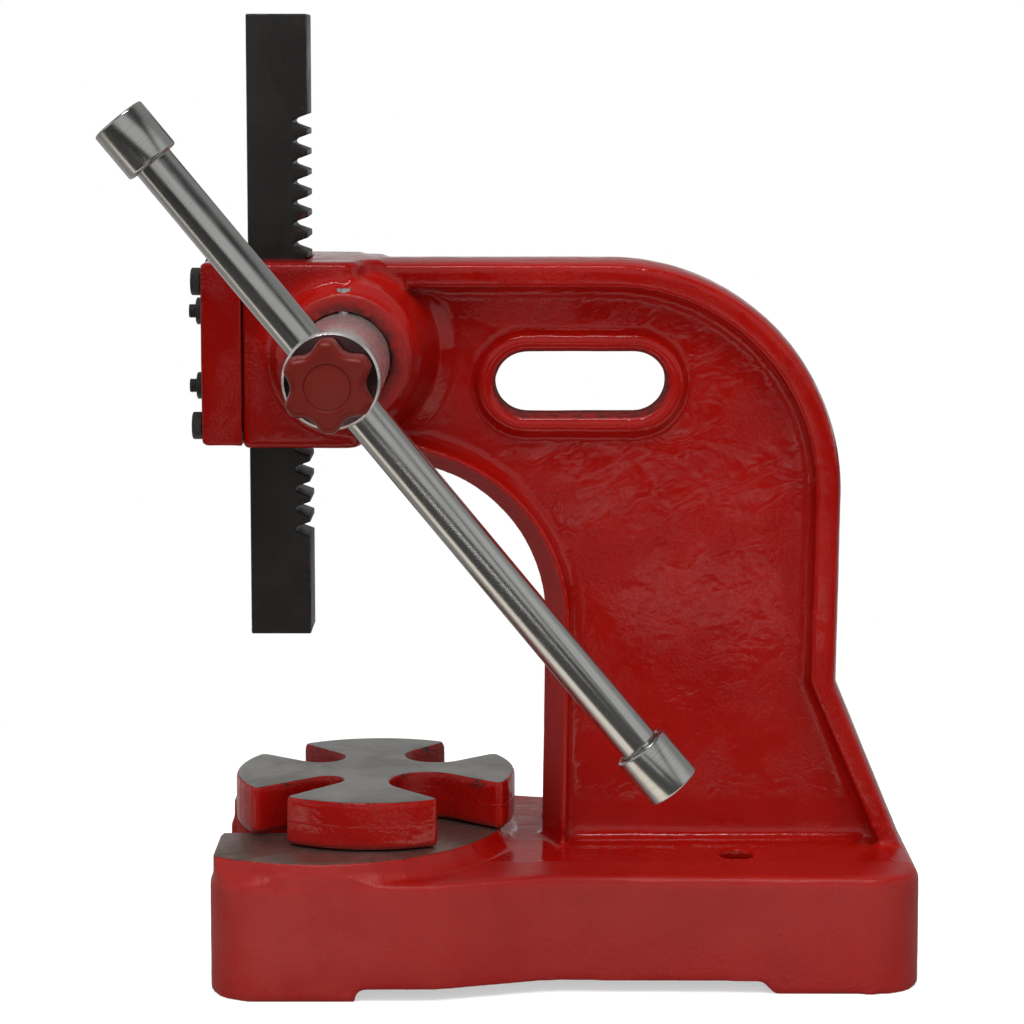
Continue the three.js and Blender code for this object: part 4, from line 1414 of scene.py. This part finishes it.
@dataclass
class FrameCasting:
    """Base, column, arm and head, cast in one piece.

    What is crisp or even reaches so far, and fades over so much more.
    """

    node: str = "frame_casting"
    skin: Skin = Skin(
        voxel=1.3 * MM,
        smoothing=5,
        most=190_000,
        lumps=(
            Lump("broad_swell", 0.060, 0.40 * MM),
            Lump("cast_lumps", 0.017, 0.22 * MM, 2),
            Lump("skin_ripple", 0.006, 0.14 * MM, 1),
        ),
    )
    table_reach: float = 78.5 * MM
    table_behind_ram: float = 18.0 * MM
    cover_foot: tuple[float, float] = (3.0 * MM, 1.0 * MM)
    joint_crisp: tuple[float, float] = (2.0 * MM, 2.0 * MM)
    rim_crisp: tuple[float, float] = (0.7 * MM, 0.5 * MM)
    step_middle: float = 6.5 * MM
    step_crisp: tuple[float, float] = (4.0 * MM, 2.0 * MM)
    step_end: tuple[float, float] = (-20.0 * MM, 10.0 * MM)
    step_pull: float = 0.55
    below_cover: float = 4.0 * MM
    cut_even: tuple[float, float] = (1.0 * MM, 2.0 * MM)
    joint_even: tuple[float, float] = (0.6 * MM, 2.0 * MM)
    foot_even: tuple[float, float] = (1.0 * MM, 3.0 * MM)
    table_even: tuple[float, float] = (0.4 * MM, 1.0 * MM)
    plug_radius: float = 3.6 * MM
    plug_length: float = 9.0 * MM
    plug_depth: float = 4.8 * MM

    def build(self) -> bpy.types.Object:
        """Build the casting.

        Returns:
            The dressed piece.
        """
        casting = node_copy(self.node, "painted_casting")
        self.plug_screw_hole(casting)
        self.skin.cast(casting, self.node, self.uneven, self.crisp)
        ram = middle_of("ram")
        centre = (ram.x + self.table_behind_ram, ram.y)
        brown = MachinedIron(pale=(0.370, 0.268, 0.230), dark=(0.205, 0.142, 0.120))
        finish = FrameEnamel(
            "casting_enamel", self.table_height(), centre, self.table_reach, iron=brown,
            bare_depth=0.35 * MM, boss=self.pinion_axis(),
        )
        return dress(casting, Body.FRAME, Slot.ENAMEL, finish.make(), self.node)

    def plug_screw_hole(self, casting: bpy.types.Object) -> None:
        """Close the set screw's hole, whose thin front wall the skin would lose.

        Args:
            casting: The casting.
        """
        middle = middle_of("pinion_set_screw")
        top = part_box("pinion_set_screw")[1].z
        place = (middle.x, middle.y, top - self.plug_depth)
        plug = cylinder("screw_plug", 32, self.plug_radius, self.plug_length, place)
        combine(casting, "UNION", plug)

    def pinion_axis(self) -> tuple[float, float]:
        """Return the x and z of the pinion's axis."""
        middle = middle_of("pinion_shaft")
        return middle.x, middle.z

    def table_height(self) -> float:
        """Return the height of the milled work table."""
        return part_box("table_plate")[0].z - GAP

    def crisp(self, places: np.ndarray) -> np.ndarray:
        """Return the pull to the solid: the table's rim and the joint with the cover.

        Args:
            places: Positions, one row each.

        Returns:
            The pull, from 0 to 1.
        """
        x, _, z = places.T
        cover_low, cover_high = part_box("cover_plate")
        joint = 1 - near(x - cover_high.x, *self.joint_crisp)
        below, soft = self.cover_foot
        joint = joint * near(z, cover_low.z - below, soft)
        rim = 1 - near(np.abs(z - self.table_height()), *self.rim_crisp)
        step = 1 - near(np.abs(z - self.table_height() + self.step_middle), *self.step_crisp)
        step = step * (1 - near(x, *self.step_end)) * self.step_pull
        return np.maximum(np.maximum(joint, rim), step)

    def uneven(self, places: np.ndarray) -> np.ndarray:
        """Return each place's share of the unevenness, none on milled faces.

        Args:
            places: Positions, one row each.

        Returns:
            The share, from 0 to 1.
        """
        x, y, z = places.T
        ram_low, ram_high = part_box("ram")
        ram = middle_of("ram")
        shaft_low, shaft_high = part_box("pinion_shaft")
        pin_x, pin_z = self.pinion_axis()
        cover_low, cover_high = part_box("cover_plate")
        behind_cover = z > cover_low.z - self.below_cover
        channel = np.maximum(x - ram.x, np.abs(y - ram.y)) - (ram_high.x - ram_low.x) / 2
        channel = np.where(behind_cover, channel, 1.0)
        joint = np.where(behind_cover, x - cover_high.x, 1.0)
        bore = np.hypot(x - pin_x, z - pin_z) - (shaft_high.x - shaft_low.x) / 2
        table = np.abs(z - self.table_height())
        share = near(channel, *self.cut_even) * near(bore, *self.cut_even)
        share = share * near(joint, *self.joint_even) * near(z, *self.foot_even)
        return share * near(table, *self.table_even)


@dataclass
class GuideCover:
    """Cover plate over the ram, its bolts and the screws that press on the gib."""

    thread_pitch: float = 1.0 * MM
    thread_depth: float = 0.28 * MM
    thread_rings: int = 6
    end_depth: float = 0.6
    screw_radius: float = 3.0 * MM
    turned_face: float = 0.87
    turned_slope: float = 0.55
    slot_depth: float = 0.9 * MM
    nut_play: float = 0.2 * MM
    edge: float = 0.12 * MM
    rear_even: tuple[float, float] = (1.0 * MM, 2.0 * MM)
    skin: Skin = Skin(
        voxel=0.8 * MM,
        smoothing=4,
        most=60_000,
        lumps=(Lump("cover_swell", 0.03, 0.3 * MM), Lump("cover_lumps", 0.010, 0.16 * MM, 2)),
    )

    def build(self) -> list[bpy.types.Object]:
        """Build the cover and what is screwed through it.

        Returns:
            The dressed pieces.
        """
        cover = node_copy("cover_plate", "painted_cover")
        self.skin.cast(cover, "cover_plate", self.uneven, self.crisp)
        # Painted shade: the cover gets the frame's red enamel, darkened
        painted_shade = Enamel(bright=(0.186, 0.0028, 0.0018), deep=(0.166, 0.0022, 0.0015))
        finish = PlainEnamel("cover_enamel_painted_shade", painted_shade)
        made = [dress(cover, Body.FRAME, Slot.ENAMEL, finish.make(), "cover_plate")]
        black = BlackOxide(
            "screw_black", colour=(0.030, 0.029, 0.028), faded=(0.042, 0.040, 0.038),
            roughness=0.30,
        ).make()
        corners = ("near_upper", "near_lower", "far_upper", "far_lower")
        levels = ("upper", "lower")
        for model, kind, title, places in (
            (self.bolt, "cover_bolt", "black_bolt", corners),
            (self.gib_screw, "gib_screw", "black_gib_screw", levels),
            (self.nut, "gib_nut", "black_lock_nut", levels),
        ):
            pattern = model(f"{kind}_{places[0]}")
            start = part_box(f"{kind}_{places[0]}")[0]
            for place in places:
                node = f"{kind}_{place}"
                piece = self.copied(pattern, f"{title}_{place}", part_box(node)[0] - start)
                made.append(dress(piece, Body.FRAME, Slot.OXIDE, black, node))
            bpy.data.objects.remove(pattern)
        return made

    def uneven(self, places: np.ndarray) -> np.ndarray:
        """Return each place's share of the unevenness, none on the rear face."""
        return near(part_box("cover_plate")[1].x - places[:, 0], *self.rear_even)

    def crisp(self, places: np.ndarray) -> np.ndarray:
        """Return the pull to the solid, full at the rear face."""
        return 1 - self.uneven(places)

    def copied(self, piece: bpy.types.Object, name: str, step: Vector) -> bpy.types.Object:
        """Copy a piece to another place, with a mesh of its own.

        Args:
            piece: The piece.
            name: Its name.
            step: How far off the copy is.

        Returns:
            The copy.
        """
        mesh = piece.data.copy()
        mesh.transform(Matrix.Translation(step))
        mesh.name = name
        made = bpy.data.objects.new(name, mesh)
        bpy.context.scene.collection.objects.link(made)
        return made

    def hexagon(self, name: str, low: Vector, high: Vector, depth: float) -> bpy.types.Object:
        """Model a hexagon whose front corners are turned off.

        Args:
            name: The piece's name.
            low: Lowest corner of the box around it.
            high: Highest corner of that box.
            depth: Its thickness along x.

        Returns:
            The hexagon.
        """
        corner = (high.z - low.z) / 2
        centre = Vector((low.x + depth / 2, (low.y + high.y) / 2, (low.z + high.z) / 2))
        head = cylinder(name, 6, corner, depth, centre, (math.pi / 2, 0, math.pi / 2))
        face = corner * self.turned_face
        deselect()
        bpy.ops.mesh.primitive_cone_add(
            vertices=72, radius1=face, radius2=face + 2 * depth / self.turned_slope,
            depth=2 * depth, location=centre + Vector((depth / 2, 0, 0)), rotation=ALONG_X,
        )
        combine(head, "INTERSECT", fixed("turning_cone"))
        return head

    def bolt(self, node: str) -> bpy.types.Object:
        """Model a hex bolt with its shank.

        Args:
            node: The CAD node.

        Returns:
            The bolt.
        """
        low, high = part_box(node)
        cover_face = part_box("cover_plate")[0].x
        depth = cover_face - low.x - GAP
        head = self.hexagon("bolt_pattern", low, high, depth)
        shank = self.threaded("bolt_shank", low.x + depth / 2, high.x, node)
        take(shank, head)
        bpy.ops.object.join()
        edges_rounded(head, self.edge, 2, 28)
        return head

    def threaded(self, name: str, from_x: float, to_x: float, node: str) -> bpy.types.Object:
        """Model a threaded rod along x.

        Args:
            name: The piece's name.
            from_x: Where it starts.
            to_x: Where it ends.
            node: The CAD node that it is centred in.

        Returns:
            The rod.
        """
        radius = self.screw_radius
        length = to_x - from_x
        middle = middle_of(node)
        centre = Vector(((from_x + to_x) / 2, middle.y, middle.z))
        rod = cylinder(name, 32, radius, length, centre, ALONG_X)
        rings = int(length / self.thread_pitch * self.thread_rings)
        for ring in range(1, rings):
            place = Vector((from_x + length * ring / rings, 0, 0))
            edit(rod, lambda: bpy.ops.mesh.bisect(plane_co=place, plane_no=(1, 0, 0)))
        for point in rod.data.vertices:
            inner = from_x + CLOSE < point.co.x < to_x - CLOSE
            out = point.co - centre
            turn = math.atan2(out.z, out.y) / (2 * math.pi)
            phase = (point.co.x - from_x) / self.thread_pitch + turn
            depth = abs((phase % 1.0) - 0.5) * 2 if inner else self.end_depth
            share = 1 - self.thread_depth / radius * depth
            point.co.y = centre.y + out.y * share
            point.co.z = centre.z + out.z * share
        return rod

    def gib_screw(self, node: str) -> bpy.types.Object:
        """Model a slotted screw with its thread.

        Args:
            node: The CAD node.

        Returns:
            The screw.
        """
        low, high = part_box(node)
        rod = self.threaded("gib_screw_pattern", low.x, high.x, node)
        middle = middle_of(node)
        deselect()
        bpy.ops.mesh.primitive_cube_add(
            size=1,
            location=(low.x, middle.y, middle.z),
            scale=(2 * self.slot_depth, self.slot_depth, 3 * self.screw_radius),
        )
        combine(rod, "DIFFERENCE", fixed("driver_slot"))
        shade(rod, 35)
        return rod

    def nut(self, node: str) -> bpy.types.Object:
        """Model a lock nut round the gib screw.

        Args:
            node: The CAD node.

        Returns:
            The nut.
        """
        low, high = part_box(node)
        nut = self.hexagon("nut_pattern", low, high, high.x - low.x)
        bore = self.screw_radius + self.nut_play
        drill = cylinder("nut_drill", 48, bore, 4 * (high.x - low.x), middle_of(node), ALONG_X)
        combine(nut, "DIFFERENCE", drill)
        edges_rounded(nut, self.edge, 2, 28)
        return nut


@dataclass
class Ram:
    """Square ram with its rack."""

    node: str = "ram"
    edge: float = 0.25 * MM

    def build(self) -> bpy.types.Object:
        """Build the ram.

        Returns:
            The dressed piece.
        """
        ram = node_copy(self.node, "black_ram")
        flat_faces_joined(ram)
        edges_rounded(ram, self.edge, 2, 20)
        low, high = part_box(self.node)
        finish = RamOxide("ram_black", tuple(low), tuple(high))
        return dress(ram, Body.RAM, Slot.OXIDE, finish.make(), self.node)


@dataclass
class PinionShaft:
    """Shaft with the hub that carries the handle."""

    node: str = "pinion_shaft"
    sides: int = 160
    hub_radius: float = 19.0 * MM
    chamfer: float = 1.0 * MM
    edge: float = 0.2 * MM
    hub_edge: float = 0.35 * MM
    lay_turn: tuple[float, float, float] = (0.0, 0.0, math.pi / 2)

    def build(self) -> bpy.types.Object:
        """Build the shaft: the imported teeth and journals, and a finer hub in front of them.

        Returns:
            The dressed piece.
        """
        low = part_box(self.node)[0]
        bar_low, bar_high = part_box("handle_bar")
        axis = middle_of(self.node)
        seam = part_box("pinion_set_screw")[0].y + MM
        inner = node_copy(self.node, "turned_shaft")
        edit(
            inner,
            lambda: bpy.ops.mesh.bisect(
                plane_co=(0, seam, 0), plane_no=(0, -1, 0), use_fill=True, clear_outer=True
            ),
        )
        flat_faces_joined(inner)
        edges_rounded(inner, self.edge, 2, 30)
        length = seam - low.y
        place = (axis.x, low.y + length / 2, axis.z)
        hub = cylinder("hub", self.sides, self.hub_radius, length, place, ALONG_Y)
        bore = (bar_high.y - bar_low.y) / 2 + GAP
        place = (axis.x, (bar_low.y + bar_high.y) / 2, axis.z)
        turn = turned_to(handle_direction())
        drill = cylinder("cross_drill", 96, bore, 4 * self.hub_radius, place, turn)
        combine(hub, "DIFFERENCE", drill)
        self.chamfer_rim(hub, low.y)
        edges_rounded(hub, self.hub_edge, 3, 40)
        take(hub, inner)
        bpy.ops.object.join()
        finish = Steel(
            "shaft_steel", Lay.AROUND, self.lay_turn, colour=(0.70, 0.68, 0.665),
            shade=(0.54, 0.525, 0.51), smooth=0.26, rough=0.38, marks=0.0005, metal=0.84,
        )
        dress(inner, Body.PINION, Slot.GROUND, finish.make(), self.node)
        # Painted shade: the hub's front face is darkened and tinted red, for the knob's shadow
        knob_shaded_face = Steel(
            "face_steel_painted_shade", Lay.AROUND, self.lay_turn, colour=(0.145, 0.075, 0.080),
            shade=(0.10, 0.055, 0.060), smooth=0.16, rough=0.26,
        )
        inner.data.materials.append(knob_shaded_face.make())
        for face in inner.data.polygons:
            if face.normal.y < -0.99 and face.center.y < low.y + CLOSE / 2:
                face.material_index = 1
        return inner

    def chamfer_rim(self, hub: bpy.types.Object, end_y: float) -> None:
        """Turn the hub's front rim down by insetting its face and pulling the rim back.

        Args:
            hub: The hub.
            end_y: Where its front face is.
        """
        on_faces(
            hub,
            lambda face: face.normal.y < -0.9 and abs(face.center.y - end_y) < CLOSE,
            lambda: bpy.ops.mesh.inset(thickness=self.chamfer, depth=0),
        )
        axis = middle_of(self.node)
        for point in hub.data.vertices:
            away = math.hypot(point.co.x - axis.x, point.co.z - axis.z)
            if abs(point.co.y - end_y) < CLOSE and away > self.hub_radius - self.chamfer / 2:
                point.co.y += self.chamfer


@dataclass
class SetScrew:
    """Socket screw in the top of the near boss."""

    node: str = "pinion_set_screw"
    proud: float = 0.35 * MM
    socket: float = 1.5 * MM
    wider: float = 0.2 * MM
    edge: float = 0.2 * MM

    def build(self) -> bpy.types.Object:
        """Build the screw: a cylinder whose top is inset and sunk.

        Returns:
            The dressed piece.
        """
        low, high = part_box(self.node)
        middle = middle_of(self.node)
        radius = (high.x - low.x) / 2 + self.wider
        length = high.z - low.z + self.proud
        place = (middle.x, middle.y, low.z + length / 2)
        screw = cylinder("socket_screw", 48, radius, length, place)
        edges_rounded(screw, self.edge, 2, 40)
        sink = {"value": (0, 0, -self.socket)}
        on_faces(
            screw,
            lambda face: face.normal.z > 0.99,
            lambda: bpy.ops.mesh.inset(thickness=radius - self.socket, depth=0),
            lambda: bpy.ops.mesh.extrude_region_move(TRANSFORM_OT_translate=sink),
        )
        shade(screw, 30)
        finish = Steel("screw_steel", Lay.AROUND, (0, 0, 0), smooth=0.3, rough=0.4)
        return dress(screw, Body.FRAME, Slot.GROUND, finish.make(), self.node)


def handle_direction() -> Vector:
    """Return the direction of the handle bar, from its upper to its lower end."""
    slide = next(joint for joint in frame["joints"] if joint["name"] == "handle_slide")
    return Vector(slide["axis"]).normalized()


def turned_to(direction: Vector) -> Sequence[float]:
    """Return the rotation that turns the z axis to a direction."""
    return Vector((0, 0, 1)).rotation_difference(direction).to_euler()


@dataclass
class Handle:
    """Handle bar with an end cap pressed on each end."""

    sides: int = 128
    bar_edge: float = 0.8 * MM
    cap_wall: float = 5.0 * MM
    cap_edge: float = 1.0 * MM

    def build(self) -> list[bpy.types.Object]:
        """Build the bar and its caps.

        Returns:
            The dressed pieces.
        """
        direction = handle_direction()
        tilt = math.atan2(direction.z, direction.x)
        bright = Steel(
            "bar_steel", Lay.ALONG, (0, tilt, 0), smooth=0.19, rough=0.26, grooves=0.012
        )
        turned = Steel(
            "cap_steel", Lay.AROUND, (0, tilt, 0), smooth=0.19, rough=0.28, marks=0.0009,
            mark_size=0.00045, grooves=0.012,
        )
        made = [self.bar(direction, bright.make())]
        cap_finish = turned.make()
        for level, side in (("upper", -1), ("lower", 1)):
            made.append(self.cap(level, direction * side, cap_finish))
        return made

    def rod(
        self, name: str, node: str, direction: Vector
    ) -> tuple[bpy.types.Object, float, float]:
        """Model a plain round rod over a slanted CAD node.

        Args:
            name: The piece's name.
            node: The node.
            direction: Direction of its axis.

        Returns:
            The rod, its radius and its length.
        """
        low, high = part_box(node)
        radius = (high.y - low.y) / 2
        length = ((high.z - low.z) - 2 * radius * abs(direction.x)) / abs(direction.z)
        turn = turned_to(direction)
        return cylinder(name, self.sides, radius, length, middle_of(node), turn), radius, length

    def bar(self, direction: Vector, finish: bpy.types.Material) -> bpy.types.Object:
        """Build the bar.

        Args:
            direction: Direction of the bar.
            finish: Its finish.

        Returns:
            The dressed bar.
        """
        bar, _, _ = self.rod("polished_bar", "handle_bar", direction)
        edges_rounded(bar, self.bar_edge, 3, 40)
        return dress(bar, Body.HANDLE, Slot.POLISHED, finish, "handle_bar")

    def cap(self, level: str, outward: Vector, finish: bpy.types.Material) -> bpy.types.Object:
        """Build one cap: a rod whose inner end is inset and sunk to take the bar.

        Args:
            level: Which end of the bar it is on.
            outward: Direction from the hub to this end.
            finish: Its finish.

        Returns:
            The cap.
        """
        node = f"handle_cap_{level}"
        cap, radius, length = self.rod(f"polished_cap_{level}", node, outward)
        low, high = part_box("handle_bar")
        bore = (high.y - low.y) / 2 + GAP
        sink = {"value": outward * (length - self.cap_wall)}
        on_faces(
            cap,
            lambda face: face.normal.dot(outward) < -0.9,
            lambda: bpy.ops.mesh.inset(thickness=radius - bore, depth=0),
            lambda: bpy.ops.mesh.extrude_region_move(TRANSFORM_OT_translate=sink),
        )
        edges_rounded(cap, self.cap_edge, 4, 40)
        return dress(cap, Body.HANDLE, Slot.POLISHED, finish, node)


@dataclass
class ClampKnob:
    """Six-lobed knob with its front cap."""

    voxel: float = 0.36 * MM
    smoothing: int = 9
    snug: float = 0.35 * MM
    cap_edge: float = 0.35 * MM

    def build(self) -> list[bpy.types.Object]:
        """Build the knob and its cap.

        Returns:
            The dressed pieces.
        """
        finish = KnobPlastic("knob_red").make()
        knob = node_copy("clamp_knob", "lobed_knob")
        modify(knob, "REMESH", mode="VOXEL", voxel_size=self.voxel, use_smooth_shade=True)
        modify(knob, "SMOOTH", factor=0.5, iterations=self.smoothing)
        take(knob)
        bpy.ops.object.shade_smooth()
        cap = self.front_cap()
        paler = KnobPlastic(
            "cap_red", colour=(0.113, 0.0048, 0.0017), dust=(0.126, 0.0090, 0.0045)
        ).make()
        return [
            dress(knob, Body.KNOB, Slot.PLASTIC, finish, "clamp_knob"),
            dress(cap, Body.KNOB, Slot.PLASTIC, paler, "knob_cap"),
        ]

    def front_cap(self) -> bpy.types.Object:
        """Model the round cap that closes the knob's front, snug in its pocket.

        Returns:
            The cap.
        """
        low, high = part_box("knob_cap")
        radius = (high.x - low.x) / 2 + self.snug
        middle = middle_of("knob_cap")
        cap = cylinder("front_cap", 96, radius, high.y - low.y, middle, ALONG_Y)
        edges_rounded(cap, self.cap_edge, 3, 40)
        return cap


@dataclass
class TablePlate:
    """Slotted plate that turns on the work table."""

    node: str = "table_plate"
    top_even: tuple[float, float] = (0.6 * MM, 1.0 * MM)
    foot_even: tuple[float, float] = (0.5 * MM, 1.0 * MM)
    top_crisp: tuple[float, float] = (0.7 * MM, 0.6 * MM)
    top_pull: float = 0.35
    skin: Skin = Skin(
        voxel=0.8 * MM,
        smoothing=26,
        most=120_000,
        lumps=(Lump("plate_swell", 0.022, 0.5 * MM), Lump("plate_grain", 0.005, 0.16 * MM, 2)),
    )

    def build(self) -> bpy.types.Object:
        """Build the plate.

        Returns:
            The dressed piece.
        """
        plate = node_copy(self.node, "slotted_plate")
        self.skin.cast(plate, self.node, self.uneven, self.crisp)
        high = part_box(self.node)[1]
        middle = middle_of(self.node)
        finish = PlateEnamel(
            "plate_enamel", high.z, (middle.x, middle.y), ragged=0.16 * MM,
            bare_depth=0.32 * MM, middle=middle.z, radius=high.x - middle.x,
        )
        return dress(plate, Body.TABLE, Slot.IRON, finish.make(), self.node)

    def uneven(self, places: np.ndarray) -> np.ndarray:
        """Return each place's share of the unevenness, none on the milled faces.

        Args:
            places: Positions, one row each.

        Returns:
            The share, from 0 to 1.
        """
        low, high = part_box(self.node)
        z = places[:, 2]
        return near(high.z - z, *self.top_even) * near(z - low.z, *self.foot_even)

    def crisp(self, places: np.ndarray) -> np.ndarray:
        """Return the pull to the solid, slight round the milled top."""
        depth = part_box(self.node)[1].z - places[:, 2]
        return self.top_pull * (1 - near(depth, *self.top_crisp))


# Studio


class Seen(Enum):
    """Which light of a lamp reaches the press."""

    ALL = "all"
    SOFT = "soft"
    SHINE = "shine"


@dataclass(frozen=True)
class Lamp:
    """Soft box that faces the press."""

    name: str
    place: tuple[float, float, float]
    size: tuple[float, float]
    level: float
    seen: Seen = Seen.ALL
    aim: tuple[float, float, float] = (0.0, 0.0, 0.18)

    def build(self) -> None:
        """Add the lamp, so bright that a face turned to it gets its level's share of white."""
        deselect()
        way = Vector(self.aim) - Vector(self.place)
        bpy.ops.object.light_add(
            type="AREA", location=self.place, rotation=way.to_track_quat("-Z", "Y").to_euler()
        )
        lamp = bpy.context.view_layer.objects.active
        lamp.name = self.name
        lamp.data.shape = "RECTANGLE"
        lamp.data.size, lamp.data.size_y = self.size
        lamp.data.energy = self.level * math.pi**2 * way.length_squared
        lamp.visible_glossy = self.seen is not Seen.SOFT
        lamp.visible_diffuse = self.seen is not Seen.SHINE


@dataclass(frozen=True)
class FloorWhite:
    """White floor with a faint shadow. In reflections it is grey, with a painted shadow under the
    press and a painted warm glow in front, and dark beyond its edge.
    """

    edge: tuple[float, float] = (-0.212, -0.188)
    shade_under_reach: tuple[float, float] = (-0.13, -0.06)
    distant_reach: tuple[float, float] = (0.24, 0.34)
    patch_start: tuple[float, float] = (-2.6, -1.7)
    patch_end: tuple[float, float] = (-0.80, -0.62)
    patch_side: tuple[float, float] = (0.18, 0.32)
    shadow_reach: tuple[float, float] = (0.20, 0.55)
    seen: Colour = (0.80, 0.80, 0.80)
    bounced: Colour = (0.54, 0.53, 0.52)
    front: Colour = (0.48, 0.45, 0.40)
    # Painted shadow: the floor under the press, as reflections see it
    under: Colour = (0.24, 0.23, 0.22)
    distant: Colour = (0.36, 0.36, 0.355)
    dark: Colour = (0.055, 0.054, 0.052)
    pale: Colour = (0.38, 0.37, 0.36)
    warm: Colour = (1.0, 0.93, 0.80)
    warm_level: float = 0.39
    seen_level: float = 0.5

    def make(self) -> bpy.types.Material:
        """Build the material.

        Returns:
            The material.
        """
        bench = Bench("floor_white")
        rays = bench.node("LightPath", output="Is Camera Ray")
        mirror = Signal(bench, rays.socket.node.outputs["Is Glossy Ray"])
        x, y, _ = bench.axes()
        beyond = bench.until(y, *self.edge)
        # Painted shadow: in reflections the floor under and beside the press is darker than in
        # front
        under = bench.between(y, *self.shade_under_reach)
        reflected = bench.blend(under, self.front, self.under)
        distant = bench.between(y, *self.distant_reach)
        reflected = bench.blend(distant, reflected, self.distant)
        colour = bench.blend(mirror, bench.blend(rays, self.bounced, self.seen), reflected)
        patch = bench.between(y, *self.patch_start) * bench.until(y, *self.patch_end)
        patch = patch * bench.until(bench.math("ABSOLUTE", x), *self.patch_side)
        colour = bench.blend(mirror * beyond, colour, bench.blend(patch, self.dark, self.pale))
        board = bench.node("BsdfDiffuse", inputs={"Color": colour}, output="BSDF")
        # Painted light: in reflections the floor in front of the press glows warm
        warmth = mirror * (1.0 - beyond) * (1.0 - under) * self.warm_level
        glow = bench.both(bench.glow(self.warm, warmth), bench.glow(WHITE, rays * self.seen_level))
        far = bench.between(bench.distance(x, y), *self.shadow_reach)
        shaders = {0: far * rays, 1: bench.both(board, glow), 2: bench.glow(WHITE, 1.0)}
        return bench.close(bench.node("MixShader", inputs=shaders, output="Shader"))


@dataclass(frozen=True)
class Room:
    """Room that the press's gloss shows: a pale wall behind, a window and pale sides in front."""

    sill: tuple[float, float] = (-0.01, 0.06)
    lintel: tuple[float, float] = (0.52, 0.66)
    jamb: tuple[float, float] = (0.58, 0.70)
    sides: tuple[float, float] = (0.67, 0.78)
    wall_top: tuple[float, float] = (0.015, 0.09)
    behind: tuple[float, float] = (-0.25, 0.35)
    window_level: float = 0.50
    side_level: float = 0.54
    dark_level: float = 0.03
    wall_foot: float = 0.72
    wall_fade: float = 0.44

    def make(self) -> bpy.types.World:
        """Build the world, which a camera ray sees as white.

        Returns:
            The world.
        """
        bench = Bench("studio", world=True)
        rays = bench.node("LightPath", output="Is Camera Ray")
        x, y, z = bench.axes(bench.node("TexCoord", output="Generated"))
        aside = bench.math("ABSOLUTE", x)
        window = bench.between(z, *self.sill) * bench.until(z, *self.lintel)
        window = window * bench.until(aside, *self.jamb)
        side = bench.between(aside, *self.sides)
        front = window * self.window_level + side * self.side_level + self.dark_level
        wall = self.wall_foot - bench.between(z, *self.wall_top) * self.wall_fade
        level = bench.choose(bench.between(y, *self.behind), front, wall)
        shown = {"Color": WHITE, "Strength": bench.choose(rays, level, 1.0)}
        return bench.close(bench.node("Background", inputs=shown, output="Background"))


@dataclass
class Studio:
    """White floor and room, soft lamps and the camera."""

    camera_place: tuple[float, float, float] = (-0.6 * MM, -1215.5 * MM, 381.0 * MM)
    lens: float = 103.93
    sensor: float = 36.0
    shift: tuple[float, float] = (-0.0098, -0.12)
    tilt: float = 6.322
    clip: tuple[float, float] = (0.05, 50.0)
    floor_size: float = 12.0

    def build(self) -> None:
        """Build everything round the press."""
        self.floor()
        bpy.context.scene.world = Room().make()
        lamps = (
            Lamp("overhead", (0.0, -0.42, 1.45), (1.5, 1.1), 1.52, Seen.SOFT),
            Lamp("left_box", (-1.25, -1.15, 0.95), (0.6, 0.9), 0.05, Seen.SOFT),
            Lamp("right_box", (1.3, -1.1, 0.85), (0.6, 0.9), 0.05, Seen.SOFT),
            Lamp("low_fill", (0.0, -0.9, 0.06), (1.2, 0.12), 0.37, Seen.SOFT, (0.0, 0.0, 0.03)),
            Lamp("back_box", (-0.5, 1.5, 0.9), (1.4, 0.9), 0.36, Seen.SOFT),
            Lamp("strip", (-0.15, -0.55, 1.35), (0.75, 0.14), 0.24, Seen.SHINE),
        )
        for lamp in lamps:
            lamp.build()
        self.camera()

    def camera(self) -> None:
        """Place the camera where the photograph was taken from."""
        deselect()
        bpy.ops.object.camera_add(
            location=self.camera_place, rotation=(math.radians(90 - self.tilt), 0, 0)
        )
        camera = bpy.context.view_layer.objects.active
        camera.data.lens = self.lens
        camera.data.sensor_width = self.sensor
        camera.data.shift_x, camera.data.shift_y = self.shift
        camera.data.clip_start, camera.data.clip_end = self.clip
        bpy.context.scene.camera = camera

    def floor(self) -> None:
        """Lay the floor."""
        deselect()
        bpy.ops.mesh.primitive_plane_add(size=self.floor_size, location=(0, 0, 0))
        floor = fixed("floor")
        floor.data.materials.append(FloorWhite().make())
        floor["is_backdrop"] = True


def main() -> None:
    """Build the press and its studio, and work out its size."""
    logging.basicConfig(level=logging.INFO, format="%(name)s: %(message)s")
    bpy.context.scene.view_settings.view_transform = "Standard"
    FrameCasting().build()
    GuideCover().build()
    Ram().build()
    PinionShaft().build()
    SetScrew().build()
    Handle().build()
    ClampKnob().build()
    TablePlate().build()
    ground = Steel("plain_steel", Lay.AROUND, (0, 0, 0)).make()
    for node in ("gib_strip", "knob_stud", "table_pivot_pin"):
        dress_node(node, ground)
    Studio().build()
    bpy.context.view_layer.update()
    boxes = {"cad": CAD_BOUNDS, "visual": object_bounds()}
    {key: [list(corner) for corner in box] for key, box in boxes.items()}


if __name__ == "__main__":
    main()
